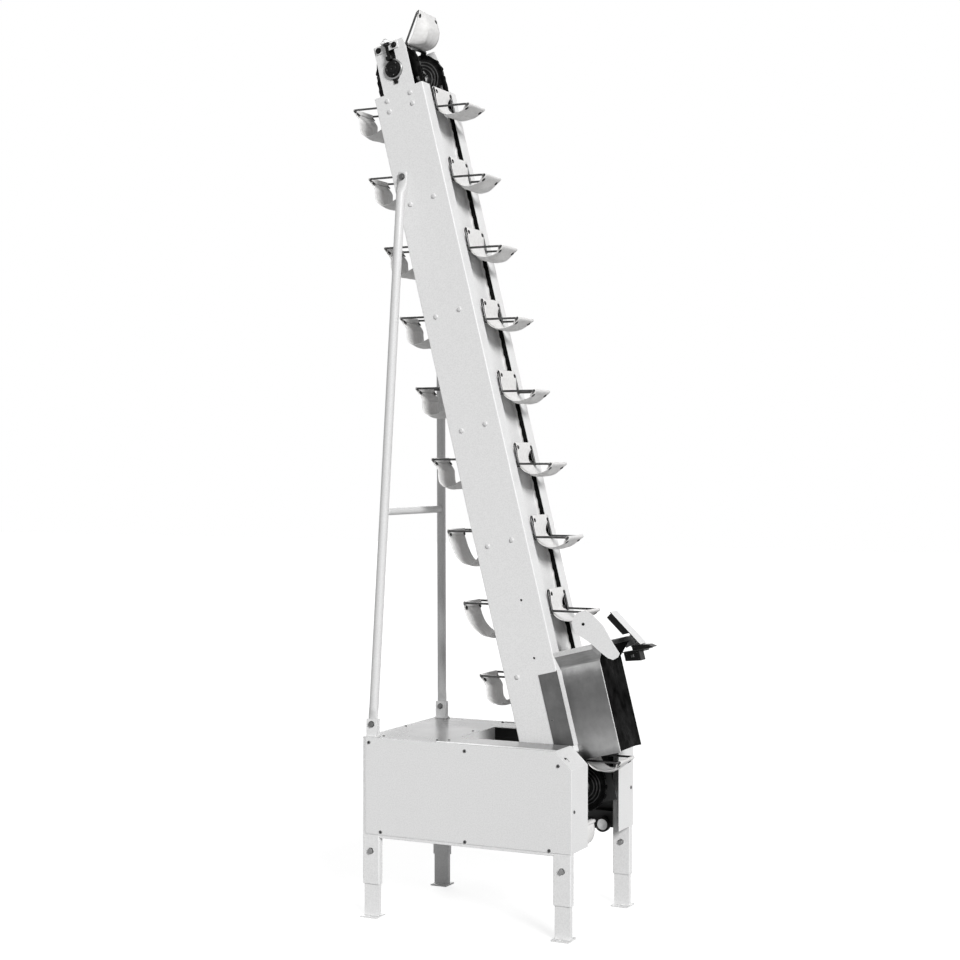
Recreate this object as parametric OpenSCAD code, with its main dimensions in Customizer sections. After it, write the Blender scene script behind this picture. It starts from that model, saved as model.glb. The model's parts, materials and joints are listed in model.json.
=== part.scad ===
// Inclined bucket elevator for dough pieces: a channel mast that leans back over a
// cabinet on four legs, with sling pockets on two side chains and an infeed chute.
// Millimetres. +X points to the infeed side, -Y to the broad near side, +Z up.
// The origin is at floor level in the middle of the four feet.

/* [Base] */
// Length of the leg frame along X
frame_l = 616; // [580:1:640]
// Width of the leg frame along Y
frame_w = 430; // [425:1:445]
// Height of the cabinet top
top_z = 489; // [484:1:494]
// Lower edge of the side panels
panel_low_z = 226; // [222:1:240]
// Lower edge of the bottom rails
rail_z = 217; // [212:1:219]
// How far the inner leg tubes stand out of the outer ones
leg_out = 90; // [60:1:120]

/* [Mast] */
// Length of the mast channels along the mast
mast_len = 2026; // [2020:1:2030]
// Backward lean of the mast in degrees
lean = 14.16; // [13.8:0.1:14.6]
// Depth of the mast channels
mast_deep = 154; // [152:1:158]
// Half of the mast's width
mast_half = 101; // [100.5:0.5:103]
// Half of the slot between the channel flanges
slot_half = 57; // [56:0.5:58]

/* [Chain] */
// Pitch of the chain
pitch = 25.4; // [25.4:0.1:25.4]
// Distance of each chain from the middle plane
chain_y = 69; // [68.5:0.5:70]

/* [Pockets] */
// Reach of the pocket frames from the mast
pocket_reach = 96; // [90:1:98]
// Wire diameter of the pocket frames
wire_d = 6; // [5:0.5:6]
// Height of the upright wire loops above the bows
loop_h = 55; // [52:1:60]

/* [Chute] */
// Half width of the chute
chute_half = 75; // [73:1:78]
// Distance of the chute's front wall from the mast
chute_deep = 117; // [112:1:122]

/* [Hidden] */
$fn = 48;
// sheet, tube and plate thicknesses
sheet = 2;
post_x = 50;
post_y = 20;
post_wall = 2.5;
tube_x = 44;
tube_y = 14.4;
rail_h = 46;
rail_t = 20;
bolt_r = 6;
bolt_gap = 0.3;
hx = frame_l / 2;
hy = frame_w / 2;
// mast frame: x is outward from the front flange, z runs up the mast
mast_x = hx - 45;
mast_z = top_z + 11;
wall = 2.5;
mast_low = -190;
mast_high = mast_low + mast_len;
// bolt rows behind the front flange and before the rear one
row_front = -43;
row_rear = -mast_deep + 37;
// chain path, with as many teeth as keep the chain inside the flanges
drive_u = -mast_deep / 2;
teeth = 2 * floor(90 / asin(pitch / 2 / (mast_deep / 2 - 11)));
gear_r = pitch / 2 / sin(180 / teeth);
loop_half = teeth / 2 * pitch;
// as many pockets as the mast's length takes, which places the tail shaft
pocket_links = 8;
head_s = mast_high + 61.7;
pocket_count = floor((2 * (mast_len + 6) / pitch + teeth) / pocket_links + 0.1);
tail_s = head_s - (pocket_links * pocket_count - teeth) / 2 * pitch;
first_s = tail_s + 481.8;
step = pocket_links * pitch;
// pockets on the front run, with one more on each wrap and the others on the rear run
k_low = ceil((tail_s - first_s) / step);
k_high = floor((head_s - first_s) / step);
k_rear = k_high + 2;
k_end = k_low + pocket_count - 2;
// the pins sit half a pitch off each pocket's zero, so one link carries the pocket
pin_s = first_s + pitch / 2;
plate_hh = 6;
roller_r = 3.97;
pin_r = 2;
inner_w = 7.85;
link_t = 1.5;
shaft_r = 12.5;
run_gap = 0.05;
// pocket placing, measured outward from the chain line
strip_x = -drive_u - gear_r + 0.5;
strip_t = 1.5;
strip_half = 57;
wire_r = wire_d / 2;
wire_y = 53;
wire_drop = lean;
loop_x = strip_x + strip_t + wire_r;
sling_t = 1.6;
sling_gap = 0.35;
sling_half = 48.5;
stud_z = loop_h - 11;
head_t = 6;
// half of the openings that the mast stands in
open_half = mast_half + 7;
// stays
stay_r = 12.5;
stay_y_low = hy - 12;
stay_y_high = mast_half + stay_r + 1.5;
stay_s = mast_high - 238;
stay_u = row_rear - 1;

module mast_place() {
    translate([mast_x, 0, mast_z])
        rotate([0, -lean, 0])
            children();
}

// puts children on the chain line; p is the length along the front run, 0 at the mast's zero
module at_chain(p) {
    if (p > head_s + loop_half) {
        translate([drive_u, 0, head_s - (p - head_s - loop_half)])
            rotate([0, 180, 0])
                translate([gear_r, 0, 0])
                    children();
    }
    if (p > head_s && p <= head_s + loop_half) {
        translate([drive_u, 0, head_s])
            rotate([0, -(p - head_s) / pitch * 360 / teeth, 0])
                translate([gear_r * cos(180 / teeth), 0, 0])
                    children();
    }
    if (p <= head_s && p >= tail_s) {
        translate([drive_u + gear_r, 0, p])
            children();
    }
    if (p < tail_s) {
        translate([drive_u, 0, tail_s])
            rotate([0, (tail_s - p) / pitch * 360 / teeth, 0])
                translate([gear_r * cos(180 / teeth), 0, 0])
                    children();
    }
}

module y_cyl(r, y0, y1, x = 0, z = 0) {
    translate([x, y0, z])
        rotate([-90, 0, 0])
            cylinder(r = r, h = y1 - y0);
}

module box(x0, x1, y0, y1, z0, z1) {
    translate([x0, y0, z0])
        cube([x1 - x0, y1 - y0, z1 - z0]);
}

module mirror_y() {
    children();
    mirror([0, 1, 0])
        children();
}

module at_legs() {
    for (sx = [-1, 1])
        for (sy = [-1, 1])
            translate([sx * (hx - post_x / 2), sy * (hy - post_y / 2), 0])
                children();
}

// the sloped front top corner: its outer face, from the front to the top
slope = 46;

module above_slope(gap) {
    translate([0, hy + 5, 0])
        rotate([90, 0, 0])
            linear_extrude(2 * hy + 10)
                polygon([[hx + sheet, top_z - slope - sheet - gap], [hx + sheet, top_z + 5],
                         [hx - slope - sheet - gap, top_z + 5],
                         [hx - slope - sheet - gap, top_z - gap]]);
}

module corner_posts() {
    color("gainsboro")
        difference() {
            at_legs()
                difference() {
                    translate([-post_x / 2, -post_y / 2, leg_out])
                        cube([post_x, post_y, top_z - sheet - leg_out]);
                    translate([-post_x / 2 + post_wall, -post_y / 2 + post_wall, leg_out - 1])
                        cube([post_x - 2 * post_wall, post_y - 2 * post_wall, top_z]);
                    y_cyl(bolt_r + bolt_gap, -post_y, post_y, 0, 180);
                }
            above_slope(2.5);
        }
}

module leg_bolt(side) {
    mirror([0, side > 0 ? 1 : 0, 0]) {
        y_cyl(9.5, -post_y / 2 - 7.5, -post_y / 2 - 1.6, 0, 180, $fn = 48);
        y_cyl(12, -post_y / 2 - 1.6, -post_y / 2, 0, 180);
        y_cyl(bolt_r, -post_y / 2 - 0.5, post_y / 2 + 6, 0, 180);
    }
}

module leg_bolts() {
    color("silver")
        for (sx = [-1, 1])
            for (sy = [-1, 1])
                translate([sx * (hx - post_x / 2), sy * (hy - post_y / 2), 0])
                    leg_bolt(sy);
}

module foot(sx, sy) {
    color("whitesmoke")
        translate([sx * (hx - post_x / 2), sy * (hy - post_y / 2), 0])
            difference() {
                union() {
                    translate([-tube_x / 2, -tube_y / 2, 0])
                        cube([tube_x, tube_y, 300]);
                    translate([-25, -26, 0])
                        cube([50, 52, 4]);
                }
                translate([-tube_x / 2 + 2, -tube_y / 2 + 2, 4])
                    cube([tube_x - 4, tube_y - 4, 300]);
                for (slot_z = [140, 220])
                    y_cyl(bolt_r + bolt_gap + 0.2, -post_y, post_y, 0, slot_z);
                translate([-bolt_r - bolt_gap - 0.2, -post_y, 140])
                    cube([2 * (bolt_r + bolt_gap + 0.2), 2 * post_y, 80]);
                for (dy = [-18, 18])
                    translate([0, dy, -1])
                        cylinder(r = 4.5, h = 8);
            }
}

module bottom_rails() {
    color("gainsboro") {
        mirror_y()
            difference() {
                box(-hx + post_x, hx - post_x, -hy, -hy + rail_t, rail_z, rail_z + rail_h);
                box(-hx, hx, -hy + 2.5, -hy + rail_t - 2.5, rail_z + 2.5, rail_z + rail_h - 2.5);
            }
        difference() {
            box(-hx, -hx + rail_t, -hy + post_y, hy - post_y, rail_z, rail_z + rail_h);
            box(-hx + 2.5, -hx + rail_t - 2.5, -hy, hy, rail_z + 2.5, rail_z + rail_h - 2.5);
        }
    }
}

module top_rails() {
    top_rail_z = top_z - sheet - 40;
    color("gainsboro") {
        mirror_y()
            difference() {
                box(-hx + post_x, hx - post_x - 8, -hy, -hy + rail_t, top_rail_z, top_z - sheet);
                box(-hx, hx, -hy + 2.5, -hy + rail_t - 2.5, top_rail_z + 2.5, top_z - sheet - 2.5);
            }
        difference() {
            box(-hx, -hx + rail_t, -hy + post_y, hy - post_y, top_rail_z, top_z - sheet);
            box(-hx + 2.5, -hx + rail_t - 2.5, -hy, hy, top_rail_z + 2.5, top_z - sheet - 2.5);
        }
    }
}

// outline of a side panel in X and Z, with the sloped front top corner
module panel_outline() {
    difference() {
        polygon([[-hx + 8, panel_low_z], [hx + sheet, panel_low_z], [hx + sheet, top_z - slope],
                 [hx - slope, top_z], [-hx + 8, top_z]]);
        difference() {
            translate([-hx + 7, panel_low_z - 1])
                square(9);
            translate([-hx + 16, panel_low_z + 8])
                circle(r = 8);
        }
    }
}

module side_panel() {
    difference() {
        union() {
            translate([0, -hy, 0])
                rotate([90, 0, 0])
                    linear_extrude(sheet)
                        panel_outline();
            // folded front return, and the sloped facet over it
            box(hx, hx + sheet, -hy - sheet, -open_half, panel_low_z, top_z - slope);
            translate([0, -open_half, 0])
                rotate([90, 0, 0])
                    linear_extrude(hy - open_half + sheet)
                        polygon([[hx + sheet, top_z - slope], [hx - slope, top_z],
                                 [hx - slope - 2, top_z - 0.6], [hx, top_z - slope - 1.2]]);
        }
        for (q = screw_spots())
            y_cyl(2.6, -hy - sheet - 1, -hy + 1, q[0], q[1]);
        translate([hx - 1, -hy + 16, top_z - 156])
            rotate([0, 90, 0])
                cylinder(r = 2.6, h = 5);
    }
}

function screw_spots() = [[-hx + 20, top_z - 14], [3, top_z - 17], [hx - 35, top_z - 37],
                          [-hx + 56, panel_low_z + 8], [4, panel_low_z + 5],
                          [hx - 60, panel_low_z + 5]];

module near_panel() {
    color("white")
        side_panel();
}

module far_panel() {
    color("white")
        mirror([0, 1, 0])
            side_panel();
}

module rear_panel() {
    color("white")
        difference() {
            box(-hx - sheet, -hx, -hy + 8, hy - 8, panel_low_z, top_z - 2);
            for (dz = [panel_low_z + 11, top_z - 20])
                for (dy = [-150, 0, 150])
                    translate([-hx - sheet - 1, dy, dz])
                        rotate([0, 90, 0])
                            cylinder(r = 2.6, h = 5);
        }
}

module top_sheet() {
    color("white")
        difference() {
            box(-hx, hx - slope - 3, -hy, hy, top_z - sheet, top_z);
            box(hx - 373, hx, -open_half, open_half, top_z - 5, top_z + 1);
        }
    // folded lip down the rear of the opening
    color("white")
        box(hx - 375, hx - 373, -open_half, open_half, top_z - 40, top_z - sheet);
}

module screw_head(r = 5, h = 2.2) {
    cylinder(r = r, h = h);
    translate([0, 0, -sheet])
        cylinder(r = 2.5, h = sheet + 0.5);
}

module panel_screws() {
    color("silver") {
        mirror_y()
            for (q = screw_spots())
                translate([q[0], -hy - sheet, q[1]])
                    rotate([90, 0, 0])
                        screw_head();
        mirror_y()
            translate([hx + sheet, -hy + 16, top_z - 156])
                rotate([0, 90, 0])
                    screw_head();
        for (dz = [panel_low_z + 11, top_z - 20])
            for (dy = [-150, 0, 150])
                translate([-hx - sheet, dy, dz])
                    rotate([0, -90, 0])
                        screw_head();
    }
}

// two rows of bolts hold each head plate, and pairs of bolts hold the webs
head_rows = [mast_high - 18, mast_high - 49];
function mast_bolt_spots() = concat(
    [for (s = head_rows) for (u = [row_rear, row_front]) [u, s]],
    [for (i = [0:3]) for (u = [row_rear, row_front]) [u, mast_high - 316.5 - i * 321.6]],
    [[row_rear, 195]]);
function holds_head(q) = q[1] > mast_high - 60;

module mast_channel() {
    difference() {
        union() {
            box(-mast_deep, 0, -mast_half, -mast_half + wall, mast_low, mast_high);
            box(-sheet, 0, -mast_half, -slot_half, mast_low + 130, mast_high);
            box(-mast_deep, -mast_deep + sheet, -mast_half, -slot_half, mast_low + 130, mast_high);
        }
        for (q = mast_bolt_spots())
            y_cyl(4.2, -mast_half - 1, -mast_half + wall + 1, q[0], q[1]);
        y_cyl(4.2, -mast_half - 1, -mast_half + wall + 1, stay_u, stay_s);
        for (q = [[-55.2, 392.5], [-55.7, 234.4]])
            y_cyl(3.5, -mast_half - 1, -mast_half + wall + 1, q[0], q[1]);
        // shaft opening for the tail
        y_cyl(20, -mast_half - 1, -mast_half + wall + 1, drive_u, tail_s);
    }
}

module mast_near() {
    color("white")
        mast_place()
            mast_channel();
}

module mast_far() {
    color("white")
        mast_place()
            mirror([0, 1, 0])
                mast_channel();
}

web_s0 = -40;
web_s1 = mast_high - 36;
// outer faces of the slide strips behind the chain, and the webs that carry them
guide_top = drive_u + gear_r - roller_r - 0.15;
web_u = guide_top - 9;

module mast_webs() {
    color("gainsboro")
        mast_place()
            for (u = [web_u - sheet, -mast_deep - web_u])
                box(u, u + sheet, -mast_half + wall, mast_half - wall, web_s0, web_s1);
}

module chain_guides() {
    color("ivory")
        mast_place()
            mirror_y() {
                box(web_u, guide_top, chain_y - 3.4, chain_y + 3.4, web_s0 + 10, web_s1 - 10);
                box(-mast_deep - guide_top, -mast_deep - web_u, chain_y - 3.4, chain_y + 3.4,
                    web_s0 + 10, web_s1 - 10);
            }
}

module mast_bolts() {
    color("silver")
        mast_place()
            mirror_y()
                for (q = mast_bolt_spots())
                    translate([q[0], -mast_half, q[1]]) {
                        rotate([90, 0, 0])
                            cylinder(r1 = 7, r2 = 5, h = 3);
                        y_cyl(4, -0.5, wall + (holds_head(q) ? head_t + 6 : 5));
                        y_cyl(6.5, wall + (holds_head(q) ? head_t : 0),
                              wall + (holds_head(q) ? head_t : 0) + 5);
                    }
}

// short tubes that carry the mast between the top rails
module mast_mounts() {
    color("gainsboro")
        mirror_y()
            for (x = [hx - 178, hx - 130])
                difference() {
                    box(x, x + 30, -hy + rail_t, -mast_half, top_z - sheet - 38, top_z - sheet - 2);
                    box(x + 2.5, x + 27.5, -hy + rail_t - 1, -mast_half + 1,
                        top_z - sheet - 35.5, top_z - sheet - 4.5);
                }
}

head_top = head_s + 76.3;

module head_plate() {
    y0 = -mast_half + wall;
    difference() {
        translate([0, y0 + head_t, 0])
            rotate([90, 0, 0])
                linear_extrude(head_t)
                    polygon([[row_rear - 7, mast_high - 66], [row_front + 16, mast_high - 66],
                             [row_front + 16, head_top - 24], [row_front + 11, head_top],
                             [row_rear - 7, head_top]]);
        // open slot in which the head bearing is moved to tension the chains
        box(drive_u - 14, drive_u + 14, y0 - 1, y0 + head_t + 1, head_s - 20, head_top + 6);
        y_cyl(14, y0 - 1, y0 + head_t + 1, drive_u, head_s - 20);
        for (q = mast_bolt_spots())
            if (holds_head(q))
                y_cyl(4.2, y0 - 1, y0 + head_t + 1, q[0], q[1]);
    }
}

module head_plates() {
    color("white")
        mast_place()
            mirror_y()
                head_plate();
}

module take_up_brackets() {
    y0 = -mast_half + wall;
    color("white")
        mast_place()
            mirror_y()
                difference() {
                    union() {
                        box(drive_u - 43, drive_u + 29, y0 - 3, y0, head_top - 22, head_top);
                        box(drive_u - 12, drive_u + 12, y0 - 24, y0 - 3, head_top - 6, head_top);
                    }
                    translate([drive_u, y0 - 14, head_top - 14])
                        cylinder(r = 5.3, h = 20);
                }
}

module take_up_screws() {
    y0 = -mast_half + wall;
    color("dimgray")
        mast_place()
            mirror_y() {
                translate([drive_u, y0 - 14, head_s + 34.2])
                    cylinder(r = 5, h = 50);
                translate([drive_u, y0 - 14, head_top])
                    cylinder(r = 8.5, h = 5, $fn = 48);
                for (du = [-32, 18])
                    translate([drive_u + du, y0 - 3, head_top - 12])
                        rotate([90, 0, 0])
                            cylinder(r = 6.5, h = 4);
            }
}

module bearing(y0) {
    difference() {
        union() {
            y_cyl(34, y0 - 9, y0);
            y_cyl(28, y0 - 22, y0 - 8);
        }
        y_cyl(shaft_r + run_gap, y0 - 30, y0 + 5);
    }
}

module head_bearings() {
    color("dimgray")
        mast_place()
            translate([drive_u, 0, head_s])
                mirror_y()
                    bearing(-mast_half + wall);
}

module head_shaft() {
    color("silver")
        mast_place()
            translate([drive_u, 0, head_s])
                y_cyl(shaft_r, -mast_half - 22, mast_half + 22);
}

// toothed wheel for the chain, with its hub on the inner side
module sprocket() {
    difference() {
        union() {
            translate([0, 3.6, 0])
                rotate([90, 0, 0])
                    linear_extrude(7.2)
                        difference() {
                            circle(r = gear_r + 4.2, $fn = 96);
                            for (i = [0:teeth - 1])
                                rotate(i * 360 / teeth)
                                    translate([gear_r, 0]) {
                                        circle(r = roller_r + 0.12, $fn = 24);
                                        polygon([[0, -roller_r - 0.12], [7, -10], [7, 10],
                                                 [0, roller_r + 0.12]]);
                                    }
                        }
            y_cyl(26, 3.5, 18);
        }
        y_cyl(shaft_r + run_gap, -10, 30);
    }
}

module sprocket_pair(phase) {
    mirror_y()
        translate([0, -chain_y, 0])
            rotate([0, -phase, 0])
                sprocket();
}

// pins lie at pin_s plus whole pitches; the phase turns a gap onto the first pin of the wrap
head_phase = (ceil((head_s - pin_s) / pitch) * pitch + pin_s - head_s) / pitch * 360 / teeth;
tail_phase = (floor((tail_s - pin_s) / pitch) * pitch + pin_s - tail_s) / pitch * 360 / teeth;

module head_sprockets() {
    color("dimgray")
        mast_place()
            translate([drive_u, 0, head_s])
                sprocket_pair(head_phase);
}

module tail_bearings() {
    color("dimgray")
        mast_place()
            translate([drive_u, 0, tail_s])
                mirror_y()
                    translate([0, -wall, 0])
                        bearing(-mast_half + wall);
}

module tail_shaft() {
    color("silver")
        mast_place()
            translate([drive_u, 0, tail_s])
                y_cyl(shaft_r, -mast_half - 26, mast_half + 78);
}

module tail_sprockets() {
    color("dimgray")
        mast_place()
            translate([drive_u, 0, tail_s])
                sprocket_pair(tail_phase);
}

// pins on the front run, the head wrap, the rear run and the tail wrap
i_tail = ceil((tail_s - pin_s) / pitch);
i_head = floor((head_s - pin_s) / pitch);
i_rear = i_head + teeth / 2 + 1;
i_end = i_tail + pocket_links * pocket_count - 1;

// side plates of one straight piece of chain, from pin a to pin b, as one outline
module chain_outline(a, b) {
    for (i = [a:b])
        translate([0, pin_s + i * pitch])
            circle(r = plate_hh, $fn = 24);
    translate([-plate_hh + 1.2, pin_s + a * pitch])
        square([2 * plate_hh - 2.4, (b - a) * pitch]);
}

module straight_chain(a, b) {
    mirror_y()
        translate([0, -chain_y, 0]) {
            for (sy = [-1, 1])
                translate([0, sy * (inner_w / 2 + link_t) + link_t, 0])
                    rotate([90, 0, 0])
                        linear_extrude(2 * link_t)
                            chain_outline(a, b);
            for (i = [a:b]) {
                y_cyl(roller_r, -inner_w / 2 - 0.5, inner_w / 2 + 0.5, 0, pin_s + i * pitch, $fn = 24);
                y_cyl(pin_r, -8, 8, 0, pin_s + i * pitch, $fn = 16);
            }
        }
}

module bent_chain(a, b, centre) {
    ang = 360 / teeth;
    mirror_y()
        translate([0, -chain_y, 0]) {
            for (sy = [-1, 1])
                translate([0, sy * (inner_w / 2 + link_t) + link_t, 0])
                    rotate([90, 0, 0])
                        linear_extrude(2 * link_t) {
                            for (i = [a:b])
                                rotate((pin_s + i * pitch - centre) / pitch * ang)
                                    translate([gear_r, 0])
                                        circle(r = plate_hh, $fn = 24);
                            for (i = [a:b - 1])
                                rotate((pin_s + (i + 0.5) * pitch - centre) / pitch * ang)
                                    translate([gear_r * cos(ang / 2) - plate_hh + 1.2, -pitch / 2])
                                        square([2 * plate_hh - 2.4, pitch]);
                        }
            for (i = [a:b])
                rotate([0, -(pin_s + i * pitch - centre) / pitch * ang, 0])
                    translate([gear_r, 0, 0]) {
                        y_cyl(roller_r, -inner_w / 2 - 0.5, inner_w / 2 + 0.5, 0, 0, $fn = 24);
                        y_cyl(pin_r, -8, 8, 0, 0, $fn = 16);
                    }
        }
}

// bent lugs that carry a pocket's strip on both chains
module lugs() {
    y_in = chain_y - inner_w / 2 - 2 * link_t;
    mirror_y() {
        box(plate_hh - 1.3, plate_hh + 0.2, -y_in - 1.5, -y_in + 8, -9, 9);
        box(plate_hh - 1.3, strip_x, -y_in + 6.5, -y_in + 8, -9, 9);
        box(strip_x - 1.5, strip_x, -y_in + 6.5, -34, -9, 9);
    }
}

module front_chain() {
    color("dimgray")
        mast_place() {
            translate([drive_u + gear_r, 0, 0])
                straight_chain(i_tail, i_head);
            for (k = [k_low:k_high])
                at_chain(first_s + k * step)
                    lugs();
        }
}

module rear_chain() {
    color("dimgray")
        mast_place() {
            translate([drive_u, 0, 2 * head_s + loop_half])
                rotate([0, 180, 0])
                    translate([gear_r, 0, 0])
                        straight_chain(i_rear, i_end - teeth / 2);
            for (k = [k_rear:k_end])
                at_chain(first_s + k * step)
                    lugs();
        }
}

module head_chain() {
    color("dimgray")
        mast_place() {
            translate([drive_u, 0, head_s])
                bent_chain(i_head + 1, i_rear - 1, head_s);
            at_chain(first_s + (k_high + 1) * step)
                lugs();
        }
}

module tail_chain() {
    color("dimgray")
        mast_place() {
            translate([drive_u, 0, tail_s])
                bent_chain(i_tail - teeth / 2, i_tail - 1, tail_s);
            at_chain(first_s + (k_low - 1) * step)
                lugs();
        }
}

// a wire bow in the XY plane, its two legs starting at X = 0
module wire_bow(reach) {
    bend = 9;
    for (sy = [-1, 1]) {
        translate([0, sy * wire_y, 0])
            rotate([0, 90, 0])
                cylinder(r = wire_r, h = reach - bend, $fn = 24);
        translate([reach - bend, sy * (wire_y - bend), 0])
            rotate([0, 0, sy > 0 ? 0 : -90])
                rotate_extrude(angle = 90, $fn = 24)
                    translate([bend, 0])
                        circle(r = wire_r, $fn = 24);
    }
    translate([reach, -wire_y + bend, 0])
        rotate([-90, 0, 0])
            cylinder(r = wire_r, h = 2 * (wire_y - bend), $fn = 24);
}

// one pocket's level bow and upright loop, on the strip that its lugs carry
module pocket_frame() {
    box(strip_x, strip_x + strip_t, -strip_half, strip_half, -9, 9);
    translate([strip_x + strip_t, 0, 0])
        rotate([0, wire_drop, 0])
            wire_bow(pocket_reach);
    translate([loop_x - 0.2, 0, -6])
        rotate([0, -90, 0])
            wire_bow(loop_h + 6);
}

function bez(a, b, c, d, t) = a * pow(1 - t, 3) + 3 * b * t * pow(1 - t, 2)
    + 3 * c * t * t * (1 - t) + d * pow(t, 3);
function unit(v) = v / norm(v);
function side(v) = [-v[1], v[0]];

// points along a curve in the pocket's X and Z, without its first one
function curve(a, b, c, d, n = 12) = [for (i = [1:n]) bez(a, b, c, d, i / n)];

// a strip of the sling's thickness along a line of points
module strip_along(mid) {
    n = len(mid) - 1;
    nor = [for (i = [0:n]) side(unit(mid[min(i + 1, n)] - mid[max(i - 1, 0)])) * sling_t / 2];
    polygon(concat([for (i = [0:n]) mid[i] + nor[i]], [for (i = [n:-1:0]) mid[i] - nor[i]]));
}

// the outer bar's place in the pocket's X and Z
bar = [strip_x + strip_t + pocket_reach * cos(wire_drop), -pocket_reach * sin(wire_drop)];
// the cloth's middle line where it leaves the upright loop
loop_face = loop_x + wire_r + sling_gap + sling_t / 2;

module sling_shape(line) {
    difference() {
        translate([0, sling_half, 0])
            rotate([90, 0, 0])
                linear_extrude(2 * sling_half)
                    strip_along(line);
        for (sy = [-1, 1])
            translate([strip_x, sy * 42, stud_z])
                rotate([0, 90, 0])
                    cylinder(r = 3.3, h = 12, $fn = 24);
    }
}

// hanging in the climbing run: down against the strip, then out to the bar in a shallow belly
module sling_up() {
    top = [loop_face, loop_h + 2];
    rest = [strip_x + strip_t + sling_gap + sling_t / 2, 2];
    inner = bar + [-wire_r - 1.4, -1];
    sling_shape(concat([top], curve(top, [loop_face, 32], rest + [0.4, 22], rest, 6),
                       curve(rest, rest + [-0.2, -32], [bar[0] / 2 - 3.5, bar[1] - 29.5], inner)));
}

// hanging in the falling run, where the upright loop points down: a deep rounded bag
module sling_down() {
    top = [loop_face, loop_h + 2];
    inner = bar + [-1.2, wire_r + 1.3];
    sling_shape(concat([[loop_face, stud_z - 7], top],
                       curve(top, [loop_face + 9, top[1] + 37], [bar[0] + 11, top[1] + 41], inner, 18)));
}

module front_frames() {
    color("white")
        mast_place()
            for (k = [k_low:k_high])
                at_chain(first_s + k * step)
                    pocket_frame();
}

module rear_frames() {
    color("white")
        mast_place()
            for (k = [k_rear:k_end])
                at_chain(first_s + k * step)
                    pocket_frame();
}

module head_frame() {
    color("white")
        mast_place()
            at_chain(first_s + (k_high + 1) * step)
                pocket_frame();
}

module tail_frame() {
    color("white")
        mast_place()
            at_chain(first_s + (k_low - 1) * step)
                pocket_frame();
}

module front_slings() {
    color("ivory")
        mast_place()
            for (k = [k_low:k_high])
                at_chain(first_s + k * step)
                    sling_up();
}

module rear_slings() {
    color("ivory")
        mast_place()
            for (k = [k_rear:k_end])
                at_chain(first_s + k * step)
                    sling_down();
}

module head_sling() {
    color("ivory")
        mast_place()
            at_chain(first_s + (k_high + 1) * step)
                sling_up();
}

module tail_sling() {
    color("ivory")
        mast_place()
            at_chain(first_s + (k_low - 1) * step)
                sling_down();
}

// press studs through the sling's hem, with a cap on each face
module pocket_bolt_pair(falling) {
    x_mid = falling ? loop_face : loop_face - 0.4;
    for (sy = [-1, 1])
        translate([x_mid, sy * 42, stud_z])
            rotate([0, 90, 0]) {
                translate([0, 0, sling_t / 2 + 1.1])
                    cylinder(r = 5, h = 2, $fn = 24);
                translate([0, 0, -sling_t / 2 - 2.2])
                    cylinder(r = 5, h = 1.4, $fn = 24);
                translate([0, 0, -sling_t / 2 - 1.2])
                    cylinder(r = 2.9, h = sling_t + 2.5, $fn = 24);
            }
}

module pocket_bolts(a, b) {
    color("silver")
        mast_place()
            for (k = [a:b])
                at_chain(first_s + k * step)
                    pocket_bolt_pair(k > k_high + 1 || k < k_low);
}

// stay tube from the cabinet to the back of the mast, with flat end tabs
low_x = -hx + 25;
low_z = top_z + 35;
high_x = mast_x - stay_s * sin(lean) + stay_u * cos(lean);
high_z = mast_z + stay_s * cos(lean) + stay_u * sin(lean);

module stay() {
    dx = high_x - low_x;
    dy = stay_y_low - stay_y_high;
    dz = high_z - low_z;
    run = norm([dx, dy, dz]);
    across = acos(dz / run);
    turn = atan2(dy, dx);
    difference() {
        union() {
            translate([low_x, -stay_y_low, low_z])
                rotate([0, 0, turn])
                    rotate([0, across, 0])
                        translate([0, 0, 20])
                            cylinder(r = stay_r, h = run - 38);
            // lower tab
            translate([low_x, -stay_y_low, low_z])
                box(-14, 14, -5, 5, -14, 30);
            // upper tab
            translate([high_x, 0, high_z])
                box(-14, 14, -mast_half - 12, -mast_half, -32, 14);
        }
        y_cyl(bolt_r + 0.1, -stay_y_low - 10, -stay_y_low + 10, low_x, low_z);
        y_cyl(bolt_r + 0.1, -mast_half - 20, -mast_half + 5, high_x, high_z);
    }
}

module stay_near() {
    color("white")
        stay();
}

module stay_far() {
    color("white")
        mirror([0, 1, 0])
            stay();
}

bar_t = 0.385;
bar_x = low_x + (high_x - low_x) * bar_t;
bar_y = stay_y_low - (stay_y_low - stay_y_high) * bar_t;
bar_z = low_z + (high_z - low_z) * bar_t;

module stay_crossbar() {
    color("white")
        y_cyl(10, -bar_y + stay_r + 1, bar_y - stay_r - 1, bar_x, bar_z);
}

module stay_feet() {
    color("white")
        mirror_y()
            difference() {
                union() {
                    box(low_x - 18, low_x + 18, -stay_y_low - 12, -stay_y_low + 12, top_z, top_z + 4);
                    box(low_x - 16, low_x + 16, -stay_y_low - 9, -stay_y_low - 5.2, top_z + 4, low_z + 14);
                    box(low_x - 16, low_x + 16, -stay_y_low + 5.2, -stay_y_low + 9, top_z + 4, low_z + 14);
                }
                y_cyl(bolt_r + 0.1, -stay_y_low - 20, -stay_y_low + 20, low_x, low_z);
            }
}

module stay_bolts() {
    color("silver") {
        mirror_y() {
            y_cyl(9.5, -stay_y_low - 14, -stay_y_low - 9, low_x, low_z);
            y_cyl(bolt_r, -stay_y_low - 9.5, -stay_y_low + 16, low_x, low_z);
            y_cyl(9.5, -mast_half - 17, -mast_half - 12, high_x, high_z);
            y_cyl(4, -mast_half - 12.5, -mast_half + 10, high_x, high_z);
        }
    }
}

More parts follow.
